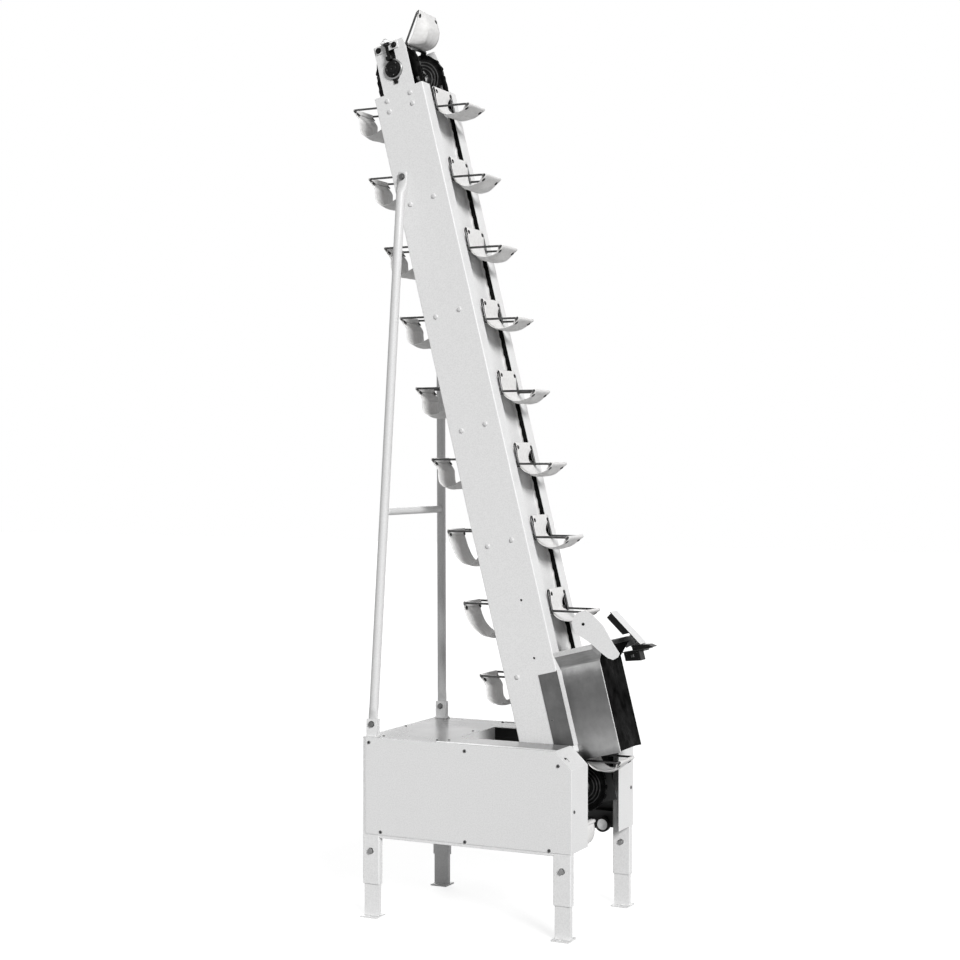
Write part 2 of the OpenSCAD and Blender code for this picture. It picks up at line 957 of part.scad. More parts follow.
// three-sided funnel block for the flared mouth of the chute, w inside the sheet
module mouth_block(w, back) {
    hull() {
        box(back, chute_deep - w, -chute_half + w, chute_half - w, 190, 190.01);
        box(back, chute_deep + 33 - w, -chute_half - 25 + w, chute_half + 25 - w, 235 - 0.01, 235);
    }
}

// folded stainless chute round the climbing pockets, open below
module chute() {
    t = 1.5;
    y_out = mast_half + t;
    color("silver")
        mast_place()
            union() {
                mirror_y() {
                    box(-54, 2, -y_out, -mast_half, -12, 188);
                    box(0.3, 2, -y_out, -chute_half + t, -12, 190);
                    box(0.3, chute_deep, -chute_half, -chute_half + t, -55, 190);
                    // ears that hold the beam brackets
                    translate([0, -chute_half - 24, 0])
                        rotate([90, 0, 0])
                            linear_extrude(t)
                                polygon([[112, 224], [150, 235], [158, 214], [128, 206]]);
                }
                box(chute_deep - t, chute_deep, -chute_half, chute_half, -52, 190);
                difference() {
                    mouth_block(0, 0.3);
                    mouth_block(t, -5);
                }
            }
}

module near_paddle() {
    y0 = -chute_half - 25.5;
    color("white")
        mast_place()
            difference() {
                union() {
                    y_cyl(34, y0 - 3, y0, 109, 293);
                    translate([0, y0, 0])
                        rotate([90, 0, 0])
                            linear_extrude(3)
                                polygon([[82, 272], [109, 300], [140, 308], [161, 276], [175, 231],
                                         [188, 197], [181, 189], [167, 185], [154, 192], [136, 212],
                                         [114, 241]]);
                }
                y_cyl(4, y0 - 5, y0 + 2, 106.5, 293);
            }
}

module far_arm() {
    y0 = chute_half + 25.5;
    color("white")
        mast_place() {
            translate([0, y0 + 7.5, 0])
                rotate([90, 0, 0])
                    linear_extrude(48)
                        polygon([[119.5, 310], [121.2, 311], [184.8, 208.2], [183.1, 207.2]]);
            translate([0, y0 + 3, 0])
                rotate([90, 0, 0])
                    linear_extrude(3)
                        polygon([[136, 218], [146, 240], [162.2, 241], [184, 207.7], [190, 188], [150, 188]]);
        }
}

// block under the far arm, and the two sensor bodies on their strip
module sensor() {
    y0 = chute_half + 25.5;
    color("black")
        mast_place() {
            translate([0, 86, 0])
                rotate([90, 0, 0])
                    linear_extrude(26)
                        polygon([[107.1, 297.7], [121.6, 306.6], [160.5, 243.7], [141, 243.2]]);
            translate([0, y0 - 4, 0])
                rotate([90, 0, 0])
                    linear_extrude(34)
                        polygon([[158, 195.9], [158, 209], [182, 206.4], [205, 203], [218, 194], [212, 193.3]]);
            translate([0, y0 - 4, 0])
                rotate([90, 0, 0])
                    linear_extrude(34)
                        polygon([[131, 195], [176, 192.8], [176, 165], [131, 172]]);
        }
    color("gray")
        mast_place()
            translate([0, y0 - 1.8, 0])
                rotate([90, 0, 0])
                    linear_extrude(38)
                        polygon([[122, 197.6], [205, 193.6], [205, 191.5], [122, 195.5]]);
}

module gear_unit() {
    color("dimgray")
        mast_place()
            translate([drive_u, 0, tail_s])
                difference() {
                    union() {
                        box(-42, 42, mast_half + 26, mast_half + 76, -48, 48);
                        y_cyl(30, mast_half + 22.5, mast_half + 26.5);
                    }
                    y_cyl(shaft_r + run_gap, mast_half, mast_half + 90);
                }
}

module motor() {
    color("dimgray")
        mast_place()
            translate([drive_u - 42, mast_half + 51, tail_s])
                rotate([0, -90, 0]) {
                    cylinder(r = 38, h = 10);
                    translate([0, 0, 10])
                        cylinder(r = 34, h = 120);
                }
}

socket_at = [hx - 74, hy - rail_t - 14, rail_z + 10];

module round_socket() {
    color("black")
        translate(socket_at) {
            difference() {
                y_cyl(21, -8, 8);
                y_cyl(15.5, -9, 5);
            }
        }
    color("gainsboro")
        translate(socket_at)
            y_cyl(15.5, -5, 5);
}

// forked clip between the socket and the far bottom rail
module socket_clip() {
    color("black")
        difference() {
            union() {
                translate(socket_at)
                    for (a = [-1, 1])
                        translate([-42, -4, a * 9 - 3])
                            cube([26, 8, 6]);
                translate(socket_at)
                    translate([-48, -6, -14])
                        cube([10, 20, 28]);
            }
            translate(socket_at)
                y_cyl(21.02, -10, 10);
        }
}

corner_posts();
leg_bolts();
foot(1, -1);  // foot_near_front
foot(-1, -1);  // foot_near_rear
foot(1, 1);  // foot_far_front
foot(-1, 1);  // foot_far_rear
bottom_rails();
top_rails();
near_panel();
far_panel();
rear_panel();
top_sheet();
panel_screws();
mast_near();
mast_far();
mast_webs();
chain_guides();
mast_bolts();
mast_mounts();
head_plates();
take_up_brackets();
take_up_screws();
head_bearings();
head_shaft();
head_sprockets();
head_chain();
tail_bearings();
tail_shaft();
tail_sprockets();
tail_chain();
front_chain();
rear_chain();
front_frames();
rear_frames();
head_frame();
tail_frame();
front_slings();
rear_slings();
head_sling();
tail_sling();
pocket_bolts(k_low, k_high);  // pocket_bolts_front
pocket_bolts(k_rear, k_end);  // pocket_bolts_rear
pocket_bolts(k_high + 1, k_high + 1);  // pocket_bolts_head
pocket_bolts(k_low - 1, k_low - 1);  // pocket_bolts_tail
stay_near();
stay_far();
stay_crossbar();
stay_feet();
stay_bolts();
chute();
near_paddle();
far_arm();
sensor();
gear_unit();
motor();
round_socket();
socket_clip();
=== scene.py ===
import json
import math

import bmesh
import bpy
from mathutils import Matrix, Vector, noise

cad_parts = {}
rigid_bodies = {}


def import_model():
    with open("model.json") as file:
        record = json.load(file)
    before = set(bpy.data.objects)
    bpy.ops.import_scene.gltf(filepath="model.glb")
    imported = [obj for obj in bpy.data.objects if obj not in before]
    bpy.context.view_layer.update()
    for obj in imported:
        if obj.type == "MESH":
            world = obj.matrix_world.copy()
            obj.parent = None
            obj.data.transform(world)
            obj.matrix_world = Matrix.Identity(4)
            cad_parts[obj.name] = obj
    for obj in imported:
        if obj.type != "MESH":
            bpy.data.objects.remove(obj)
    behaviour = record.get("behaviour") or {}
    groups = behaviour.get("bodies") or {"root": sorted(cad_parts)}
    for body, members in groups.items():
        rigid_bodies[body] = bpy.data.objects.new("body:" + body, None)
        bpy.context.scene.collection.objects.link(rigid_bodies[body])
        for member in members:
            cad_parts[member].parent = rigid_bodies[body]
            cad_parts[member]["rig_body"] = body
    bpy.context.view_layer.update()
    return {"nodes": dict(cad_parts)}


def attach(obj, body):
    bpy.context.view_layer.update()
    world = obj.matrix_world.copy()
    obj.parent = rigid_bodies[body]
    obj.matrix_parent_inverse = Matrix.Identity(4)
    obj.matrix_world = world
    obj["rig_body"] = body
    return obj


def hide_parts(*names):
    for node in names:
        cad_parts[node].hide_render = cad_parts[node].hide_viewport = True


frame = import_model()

# An inclined bucket elevator for dough pieces. Metres, +X towards the infeed side,
# -Y towards the broad near side, +Z up, the origin on the floor between the feet.

nodes = frame["nodes"]

# mast and chain, as in the part's source
LEAN = math.radians(14.16)
MAST = Matrix.Translation((0.263, 0, 0.5)) @ Matrix.Rotation(-LEAN, 4, "Y")
OFF_MAST = MAST.inverted()
MAST_HIGH = 1.836
MAST_HALF = 0.101
MAST_DEEP = 0.154
WALL = 0.0025
ROW_FRONT = -0.043
ROW_REAR = -0.117
PITCH = 0.0254
TEETH = 16
TOOTH_TURN = 2 * math.pi / TEETH
GEAR_R = PITCH / 2 / math.sin(math.pi / TEETH)
DRIVE_U = -MAST_DEEP / 2
HEAD_S = 1.8977
HEAD_TOP = 1.974
POCKET_LINKS = 8
POCKET_COUNT = 22
POCKET_STEP = POCKET_LINKS * PITCH
HALF_WRAP = TEETH / 2 * PITCH
TAIL_S = HEAD_S - (POCKET_LINKS * POCKET_COUNT - TEETH) / 2 * PITCH
FIRST_S = 0.3475
PIN_S = FIRST_S + PITCH / 2
CHAIN_Y = 0.069
INNER_W = 0.00785
LINK_T = 0.0015
PLATE_HH = 0.006
ROLLER_R = 0.00397
SHAFT_R = 0.0125

# pocket: bent wire, base strip and cloth
STRIP_X = 0.0124
STRIP_T = 0.0015
STRIP_OUT = STRIP_X + STRIP_T
STRIP_HALF_Y = 0.057
STRIP_HALF_Z = 0.009
WIRE_R = 0.003
WIRE_X = STRIP_OUT + WIRE_R
WIRE_Y = 0.053
WIRE_REACH = 0.096
WIRE_BEND = 0.009
BOW_X = STRIP_OUT + 0.0002
LOOP_TOP = 0.055
LOOP_FOOT = -0.006
CLOTH_T = 0.0011
CLOTH_HALF = 0.0485
LIFT = 0.0003
STUD_Z = 0.0445
STUD_BACK = 0.0105

# cabinet and stays
HALF_L = 0.308
HALF_W = 0.215
SHEET = 0.002
TOP_Z = 0.489
PANEL_LOW = 0.226
SLOPE = 0.046
LEG_BOLT_X = 0.283
LEG_BOLT_Z = 0.18
TUBE_R = 0.0125

# chute, in the mast's own frame
CHUTE_HALF = 0.075
CHUTE_DEEP = 0.117
MOUTH_LOW = 0.190
MOUTH_HIGH = 0.235
PADDLE_OUT = 0.0255

# how near counts as the same place, for points joined and for edges picked
JOINED = 1e-6
SAME = 0.0003


def colour(level, warm=0.0):
    """A near-grey colour, a little warmer or cooler than neutral."""
    return (level * (1 + warm), level, level * (1 - warm), 1)


# Shader building blocks

def add(tree, kind, inputs=None, **settings):
    """A new node with its settings, its inputs linked or given plain values."""
    node = tree.nodes.new(kind)
    for key, value in settings.items():
        setattr(node, key, value)
    for key, value in (inputs or {}).items():
        if isinstance(value, bpy.types.NodeSocket):
            tree.links.new(value, node.inputs[key])
        else:
            node.inputs[key].default_value = value
    return node


def linked(tree, sockets, **values):
    for key, value in values.items():
        tree.links.new(value, sockets[key.replace("_", " ")])


def mixed(tree, factor, a, b, how="MIX"):
    node = add(tree, "ShaderNodeMix", {0: factor, 6: a, 7: b}, data_type="RGBA", blend_type=how)
    return node.outputs[2]


def sums(tree, how, a, b, clamp=False):
    node = add(tree, "ShaderNodeMath", {0: a, 1: b}, operation=how, use_clamp=clamp)
    return node.outputs[0]


def spread(tree, value, low, high, to_low=0.0, to_high=1.0):
    node = add(tree, "ShaderNodeMapRange", {
        "Value": value, "From Min": low, "From Max": high, "To Min": to_low, "To Max": to_high})
    return node.outputs[0]


def where(tree, kind="Object"):
    return add(tree, "ShaderNodeTexCoord").outputs[kind]


def height_of(tree, place):
    return add(tree, "ShaderNodeSeparateXYZ", {0: place}).outputs[2]


def noisy(tree, place, scale, detail, **more):
    inputs = {"Vector": place, "Scale": scale, "Detail": detail, **more}
    return add(tree, "ShaderNodeTexNoise", inputs).outputs[0]


def new_group(name, inputs, outputs):
    """A node group; inputs are (label, kind, value) and outputs (label, kind)."""
    tree = bpy.data.node_groups.new(name, "ShaderNodeTree")
    for label, kind, value in inputs:
        socket = tree.interface.new_socket(label, in_out="INPUT", socket_type="NodeSocket" + kind)
        socket.default_value = value
    for label, kind in outputs:
        tree.interface.new_socket(label, in_out="OUTPUT", socket_type="NodeSocket" + kind)
    return tree, tree.nodes.new("NodeGroupInput").outputs, tree.nodes.new("NodeGroupOutput").inputs


def speckle_group():
    """Fine flecks and dimples of a hammered powder coat."""
    tree, given, out = new_group(
        "hammered_speckle",
        [("Colour", "Color", colour(0.7)), ("Fleck", "Color", colour(0.5)),
         ("Scale", "Float", 300.0), ("Amount", "Float", 0.5)],
        [("Colour", "Color"), ("Height", "Float"), ("Gloss", "Float")])
    fine = noisy(tree, where(tree), given["Scale"], 2.0)
    flecks = sums(tree, "MULTIPLY", spread(tree, fine, 0.38, 0.66), given["Amount"])
    linked(tree, out, Height=fine, Colour=mixed(tree, flecks, given["Colour"], given["Fleck"]),
           Gloss=spread(tree, noisy(tree, where(tree), 9.0, 3.0), 0.3, 0.7))
    return tree


def smudge_group():
    """Broad faint handling marks and dust that gathers towards the floor."""
    tree, given, out = new_group(
        "smudges",
        [("Colour", "Color", colour(0.7)), ("Dirt", "Color", colour(0.4, 0.03)),
         ("Amount", "Float", 0.15), ("Low height", "Float", 0.4)],
        [("Colour", "Color")])
    place = where(tree)
    marks = noisy(tree, place, 14.0, 6.0, Roughness=0.7)
    streaks = add(tree, "ShaderNodeMapping", {"Vector": place, "Scale": (60.0, 60.0, 5.0)})
    runs = noisy(tree, streaks.outputs[0], 1.0, 3.0)
    up = sums(tree, "DIVIDE", height_of(tree, place), given["Low height"])
    patch = sums(tree, "MULTIPLY", spread(tree, marks, 0.48, 0.75), spread(tree, runs, 0.3, 0.7))
    low_patch = sums(tree, "MULTIPLY", patch, spread(tree, up, 0.0, 1.0, 1.0, 0.25))
    mask = sums(tree, "MULTIPLY", low_patch, given["Amount"], clamp=True)
    linked(tree, out, Colour=mixed(tree, mask, given["Colour"], given["Dirt"]))
    return tree


def brushed_group():
    """Long fine scratches of rolled or ground metal, stretched by Stretch."""
    tree, given, out = new_group(
        "brushed_metal",
        [("Stretch", "Vector", (400.0, 400.0, 12.0)), ("Turn", "Vector", (0.0, 0.0, 0.0))],
        [("Value", "Float"), ("Height", "Float"), ("Cloud", "Float")])
    place = where(tree)
    level = add(tree, "ShaderNodeMapping", {"Vector": place, "Rotation": given["Turn"]}).outputs[0]
    stretched = add(tree, "ShaderNodeVectorMath", {0: level, 1: given["Stretch"]},
                    operation="MULTIPLY").outputs[0]
    lines = noisy(tree, stretched, 1.0, 3.0)
    cloud = noisy(tree, place, 22.0, 5.0, Roughness=0.65)
    linked(tree, out, Value=spread(tree, lines, 0.3, 0.7), Height=lines,
           Cloud=spread(tree, cloud, 0.3, 0.7))
    return tree


def weave_group():
    """Plain weave on a cloth's own UV map, which is in metres."""
    tree, given, out = new_group(
        "plain_weave", [("Threads", "Float", 900.0)], [("Height", "Float"), ("Shade", "Float")])
    place = where(tree, "UV")
    both = [add(tree, "ShaderNodeTexWave",
                {"Vector": place, "Scale": given["Threads"], "Distortion": 0.6},
                bands_direction=way).outputs["Fac"] for way in "XY"]
    threads = sums(tree, "MAXIMUM", *both)
    fuzz = noisy(tree, place, 120.0, 4.0)
    linked(tree, out, Height=sums(tree, "ADD", threads, fuzz),
           Shade=sums(tree, "MULTIPLY", spread(tree, fuzz, 0.3, 0.7),
                      spread(tree, threads, 0.0, 1.0, 0.7, 1.0)))
    return tree


def mast_height_group():
    """How far up the mast a point lies, from the mast's zero."""
    tree, _, out = new_group("mast_height", [], [("Value", "Float")])
    up = Vector((-math.sin(LEAN), 0, math.cos(LEAN)))
    along = add(tree, "ShaderNodeVectorMath", {0: where(tree), 1: up}, operation="DOT_PRODUCT")
    linked(tree, out, Value=sums(tree, "SUBTRACT", along.outputs["Value"],
                                 MAST.translation.dot(up)))
    return tree


SPECKLE = speckle_group()
SMUDGE = smudge_group()
BRUSHED = brushed_group()
WEAVE = weave_group()
UP_MAST = mast_height_group()


def from_group(tree, group, inputs=None):
    return add(tree, "ShaderNodeGroup", inputs, node_tree=group).outputs


FINISH = {}


def new_material(name, **plain):
    """A finish with one Principled shader; plain values go on the shader's own sockets."""
    material = FINISH[name] = bpy.data.materials.new(name)
    material.use_nodes = True
    tree = material.node_tree
    shader = tree.nodes["Principled BSDF"]
    for key, value in plain.items():
        shader.inputs[key.replace("_", " ")].default_value = value
    return tree, shader.inputs


def surfaced(tree, shader, tone, gloss, rough, height, deep, strength=0.5):
    """Gives the shader its colour, a roughness between two values and a bump."""
    bump = add(tree, "ShaderNodeBump", {"Height": height, "Distance": deep, "Strength": strength})
    linked(tree, shader, Base_Color=tone, Roughness=spread(tree, gloss, 0, 1, *rough),
           Normal=bump.outputs[0])


def ramp(tree, value, stops):
    """Grey levels along a value, from (place, level) pairs."""
    node = add(tree, "ShaderNodeValToRGB", {"Fac": value})
    band = node.color_ramp
    band.elements.remove(band.elements[1])
    band.elements[0].position, band.elements[0].color = stops[0][0], colour(stops[0][1])
    for at, level in stops[1:]:
        band.elements.new(at).color = colour(level)
    return node.outputs[0]


def painted(name, level, fleck, warm=0.0, scale=300.0, dirt=0.12, rough=0.42, painted_shade_below=None,
            deep=0.00025):
    """Powder coat; below a height it is painted near black, as painted shade for the cabinet's
    inside.
    """
    tree, shader = new_material(name)
    coat = from_group(tree, SPECKLE, {"Colour": colour(level, warm), "Fleck": colour(fleck, warm),
                                      "Scale": scale, "Amount": 0.6})
    tone = from_group(tree, SMUDGE, {"Colour": coat["Colour"], "Amount": dirt})["Colour"]
    # painted shade: below the given height the colour turns near black, where the inside of the
    # cabinet lies in shade
    if painted_shade_below:
        low = spread(tree, height_of(tree, where(tree)), painted_shade_below - 0.006, painted_shade_below, 1.0, 0.0)
        tone = mixed(tree, low, tone, colour(0.02))
    surfaced(tree, shader, tone, coat["Gloss"], (rough - 0.05, rough + 0.08), coat["Height"], deep)


def bare_metal(name, level, worn, rough=0.3, stretch=60.0):
    """Steel whose fine lines and clouds go from one grey to a more worn one."""
    tree, shader = new_material(name, Metallic=1.0)
    lines = from_group(tree, BRUSHED, {"Stretch": (stretch, stretch, stretch)})
    wear = sums(tree, "MULTIPLY", lines["Value"], lines["Cloud"])
    surfaced(tree, shader, mixed(tree, wear, colour(level), colour(worn)), lines["Cloud"],
             (rough - 0.06, rough + 0.1), lines["Height"], 0.0001, 0.4)


def dark_coat(name, level, fleck, rough, scale, deep):
    """Black castings and plastics: fine grain, dust in the low places."""
    tree, shader = new_material(name, Specular_IOR_Level=0.14)
    grain = from_group(tree, SPECKLE, {"Colour": colour(level), "Fleck": colour(fleck),
                                       "Scale": scale, "Amount": 0.6})
    soiled = from_group(tree, SMUDGE, {"Colour": grain["Colour"], "Dirt": colour(0.03, 0.05),
                                       "Amount": 0.3, "Low height": 3.0})
    surfaced(tree, shader, soiled["Colour"], grain["Gloss"], (rough - 0.08, rough + 0.12),
             grain["Height"], deep, 0.6)


def chute_steel(name, stops, blotch=0.15, rough=0.32, **plain):
    """Rolled stainless sheet: grey levels along the mast that are painted reflection and highlight
    bands, with rolling lines and handling blotches.
    """
    tree, shader = new_material(name, Metallic=1.0, **plain)
    lines = from_group(tree, BRUSHED, {"Stretch": (30.0, 500.0, 14.0), "Turn": (0.0, LEAN, 0.0)})
    height = sums(tree, "ADD", from_group(tree, UP_MAST)["Value"],
                  spread(tree, lines["Cloud"], 0, 1, -0.003, 0.003))
    low, high = -0.06, 0.24
    tone = ramp(tree, spread(tree, height, low, high),
                [((s - low) / (high - low), level) for s, level in stops])
    shade = sums(tree, "ADD", spread(tree, lines["Value"], 0, 1, 1 - blotch / 2, 1 + blotch / 2),
                 spread(tree, lines["Cloud"], 0, 1, -blotch, blotch))
    grey = add(tree, "ShaderNodeCombineXYZ", {0: shade, 1: shade, 2: shade}).outputs[0]
    surfaced(tree, shader, mixed(tree, 1.0, tone, grey, "MULTIPLY"), lines["Cloud"],
             (rough - 0.05, rough + 0.1), lines["Height"], 0.00006)


def cloth_material():
    tree, shader = new_material("sling_cloth", Sheen_Weight=0.2)
    weave = from_group(tree, WEAVE, {"Threads": 160.0})
    clean = mixed(tree, weave["Shade"], colour(0.72, 0.01), colour(0.84, 0.005))
    soiled = from_group(tree, SMUDGE, {"Colour": clean, "Dirt": colour(0.55, 0.05),
                                       "Amount": 0.35, "Low height": 4.0})
    surfaced(tree, shader, soiled["Colour"], weave["Shade"], (0.7, 0.9), weave["Height"], 0.0002)


# the mast and the other white parts turn to painted shade below the top sheet, inside the cabinet
painted("white_paint", 0.80, 0.68, scale=340.0, painted_shade_below=0.474)
painted("panel_paint", 0.77, 0.66, dirt=0.16)
painted("frame_paint", 0.79, 0.67, dirt=0.2)
# the top sheet's coat is darkened far below the panels' paint: painted shade for an upward face
# that the low light reaches weakly
painted("top_paint", 0.25, 0.21, rough=0.2, dirt=0.25, deep=0.00004)
# a darker copy of the mast's paint for the bolt heads: painted shade on the domes
painted("bolt_paint", 0.66, 0.6, scale=500.0, rough=0.3)
# a darker copy of the frame paint for the stays: painted shade, as the near tube faces the sun and
# the far one lies in the mast's shadow
painted("stay_paint_painted_shade", 0.66, 0.56, dirt=0.2)
bare_metal("grey_steel", 0.22, 0.36, rough=0.35)
# near-black painted shade for the faces inside the cabinet; the same dark also fills the seam on
# the top sheet
painted("inner_coat", 0.012, 0.008, rough=0.6)
bare_metal("steel", 0.45, 0.62)
bare_metal("dark_steel", 0.10, 0.20, rough=0.38)
bare_metal("bright_steel", 0.45, 0.75, rough=0.2)
# near-black steel for the pocket wires: painted reflection of dark surroundings, which the white
# studio would not give
bare_metal("wire_steel", 0.055, 0.14, rough=0.33)
bare_metal("chain_steel", 0.006, 0.022, rough=0.42, stretch=90.0)
bare_metal("roller_steel", 0.03, 0.12)
bare_metal("wheel_steel", 0.012, 0.05, rough=0.34)
# the chute's finishes: grey levels along the mast are painted reflections of the studio, the bright
# band at the mouth is a painted highlight, and the inside is darkened as painted shade
chute_steel("chute_cheek", (
    (-0.055, 0.20), (-0.036, 0.34), (0.0, 0.27), (0.06, 0.155), (0.11, 0.125), (0.150, 0.15),
    (0.165, 0.20), (0.182, 0.38), (0.190, 0.40), (0.196, 0.27), (0.212, 0.27), (0.224, 0.24)))
chute_steel("chute_front", ((-0.05, 0.034), (0.06, 0.020), (0.18, 0.028), (0.22, 0.022)),
            blotch=0.55, rough=0.5, Specular_Tint=(0.3, 0.3, 0.3, 1.0))
chute_steel("chute_flange", ((-0.01, 0.15), (0.09, 0.115), (0.18, 0.125)), blotch=0.2)
painted("chute_bright", 0.66, 0.78, scale=240.0, dirt=0.1, rough=0.3)
chute_steel("chute_inside", ((0.0, 0.05), (0.17, 0.12), (0.20, 0.36), (0.235, 0.46)),
            blotch=0.2)
painted("guide_plastic", 0.82, 0.76, warm=0.01, scale=80.0, rough=0.35)
dark_coat("cast_black", 0.010, 0.02, 0.42, 260.0, 0.0003)
dark_coat("bearing_black", 0.004, 0.008, 0.3, 500.0, 0.00006)
dark_coat("black_plastic", 0.006, 0.012, 0.36, 700.0, 0.00008)
cloth_material()
dark_coat("snap_black", 0.008, 0.02, 0.3, 500.0, 0.00005)


# Mesh building blocks

def in_scene(name, data):
    thing = bpy.data.objects.new(name, data)
    bpy.context.scene.collection.objects.link(thing)
    return thing


def as_template(bm, name):
    mesh = bpy.data.meshes.new(name)
    bm.to_mesh(mesh)
    bm.free()
    return mesh


def finished(bm, name, finishes, node, smooth_angle=35.0):
    """Turns a bmesh into a piece that stands for a CAD node and rides on its body."""
    piece = in_scene(name, as_template(bm, name))
    for each in finishes.split():
        piece.data.materials.append(FINISH[each])
    piece.data.shade_smooth()
    piece.data.set_sharp_from_angle(angle=math.radians(smooth_angle))
    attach(piece, nodes[node]["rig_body"])
    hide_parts(node)
    return piece


def moved(bm, verts, matrix):
    bmesh.ops.transform(bm, matrix=matrix, verts=verts)


def moved_by(x=0.0, y=0.0, z=0.0):
    return Matrix.Translation((x, y, z))


def about(angle, axis):
    return Matrix.Rotation(angle, 4, axis)


def at_mast(u, y, s):
    return MAST @ moved_by(u, y, s)


def outward(side):
    """Turns a form's local Z to face away from the middle plane."""
    return about(side * -math.pi / 2, "X")


def ring_of(place, count, out, up, start=0.0):
    """Places evenly spread round a place's own Z."""
    return [place @ about(start + i * 2 * math.pi / count, "Z") @ moved_by(out, 0, up)
            for i in range(count)]


def edges_of(verts):
    return list(dict.fromkeys(e for v in verts for e in v.link_edges))


def faces_of(verts):
    return list(dict.fromkeys(f for v in verts for f in v.link_faces))


def inked(verts, index):
    """Gives the faces round some vertices another of the piece's finishes."""
    for face in faces_of(verts):
        face.material_index = index


def y_drum(bm, radius, half, segments):
    """A closed drum along Y, as long on both sides of the middle."""
    return bmesh.ops.create_cone(
        bm, cap_ends=True, segments=segments, radius1=radius, radius2=radius, depth=2 * half,
        matrix=about(-math.pi / 2, "X"))["verts"]


def block(bm, x0, x1, y0, y1, z0, z1):
    return bmesh.ops.create_cube(
        bm, size=1, matrix=moved_by((x0 + x1) / 2, (y0 + y1) / 2, (z0 + z1) / 2)
        @ Matrix.Diagonal((x1 - x0, y1 - y0, z1 - z0, 1)))["verts"]


def plate_between(bm, low, high, start, thick):
    """A plate with its lower and upper edges along two pairs of points."""
    low, high = [Vector(p) + start for p in low], [Vector(p) + start for p in high]
    made = bmesh.ops.create_cube(bm, size=1)["verts"]
    for v in made:
        along, across, out = (c + 0.5 for c in v.co)
        v.co = low[0].lerp(low[1], along).lerp(high[0].lerp(high[1], along), across) + thick * out
    bmesh.ops.recalc_face_normals(bm, faces=faces_of(made))
    return made


def turned(bm, profile, place=Matrix(), segments=24, closed=False):
    """A profile of (radius, height) pairs spun round its own Z, then put in place."""
    before = set(bm.verts)
    verts = [bm.verts.new((r, 0, h)) for r, h in profile]
    pairs = list(zip(verts, verts[1:])) + ([(verts[-1], verts[0])] if closed else [])
    edges = [bm.edges.new(pair) for pair in pairs]
    bmesh.ops.spin(bm, geom=verts + edges, cent=(0, 0, 0), axis=(0, 0, 1), angle=2 * math.pi,
                   steps=segments, use_merge=True)
    bmesh.ops.remove_doubles(bm, verts=[v for v in bm.verts if v not in before], dist=JOINED)
    made = [v for v in bm.verts if v not in before]
    bmesh.ops.recalc_face_normals(bm, faces=faces_of(made))
    moved(bm, made, place)
    return made


def extruded(bm, edges):
    """Grows a ring of edges where it stands; gives the new ring's edges and vertices."""
    grown = bmesh.ops.extrude_edge_only(bm, edges=edges)["geom"]
    fresh = [g for g in grown if isinstance(g, bmesh.types.BMVert)]
    return [g for g in grown if isinstance(g, bmesh.types.BMEdge)
            and all(v in fresh for v in g.verts)], fresh


def line_of(e):
    """An edge's middle, direction and length."""
    a, b = (v.co for v in e.verts)
    return (a + b) / 2, (a - b).normalized(), (a - b).length


def sharp_edges(bm, limit=30.0, longer=0.0, pick=None):
    return [e for e in bm.edges if len(e.link_faces) == 2 and e.calc_length() > longer
            and e.calc_face_angle(0) > math.radians(limit) and (pick is None or pick(e))]


def rounded(bm, edges, width, segments=1):
    return bmesh.ops.bevel(bm, geom=edges, offset=width, offset_type="OFFSET", segments=segments,
                           profile=0.5, affect="EDGES", clamp_overlap=True, material=-1)["faces"]


def copied(node):
    """A bmesh of a CAD node with its loose triangles joined into clean faces."""
    bm = bmesh.new()
    bm.from_mesh(nodes[node].data)
    bmesh.ops.remove_doubles(bm, verts=bm.verts, dist=JOINED)
    bmesh.ops.dissolve_limit(bm, angle_limit=math.radians(0.5), verts=bm.verts, edges=bm.edges,
                             delimit={"NORMAL"})
    for face in bm.faces:
        face.material_index = 0
    return bm


def shaded(bm, rule):
    """Gives each face the finish that the rule picks from its middle and its normal."""
    bm.normal_update()
    for face in bm.faces:
        face.material_index = rule(face.calc_center_median(), face.normal)


def even(piece):
    """Keeps the large faces flat in the light, so that only the folds beside them turn."""
    weights = piece.modifiers.new("even_normals", "WEIGHTED_NORMAL")
    weights.keep_sharp = True
    weights.weight = 60


def softened(node, finishes, width, longer, apart=None, apart_width=0.0, rule=None,
             more=None):
    """Stands for a CAD node with its long edges rounded, those set apart more or not at all."""
    bm = copied(node)
    if apart_width:
        rounded(bm, sharp_edges(bm, longer=longer, pick=apart), apart_width, segments=3)
    rounded(bm, sharp_edges(bm, longer=longer, pick=apart and (lambda e: not apart(e))), width)
    if rule:
        shaded(bm, rule)
    if more:
        more(bm)
    even(finished(bm, node + "_form", finishes, node))


def stamped(bm, template, places):
    """Adds one copy of the template mesh at each place."""
    for place in places:
        mesh = template.copy()
        mesh.transform(place)
        bm.from_mesh(mesh)
        bpy.data.meshes.remove(mesh)


def rounded_block(bm, size, width, place=Matrix(), index=0):
    """Adds a block with rounded edges, in one of the piece's finishes."""
    part = bmesh.new()
    block(part, *size)
    rounded(part, list(part.edges), width)
    for face in part.faces:
        face.material_index = index
    mesh = as_template(part, "part")
    stamped(bm, mesh, [place])
    bpy.data.meshes.remove(mesh)


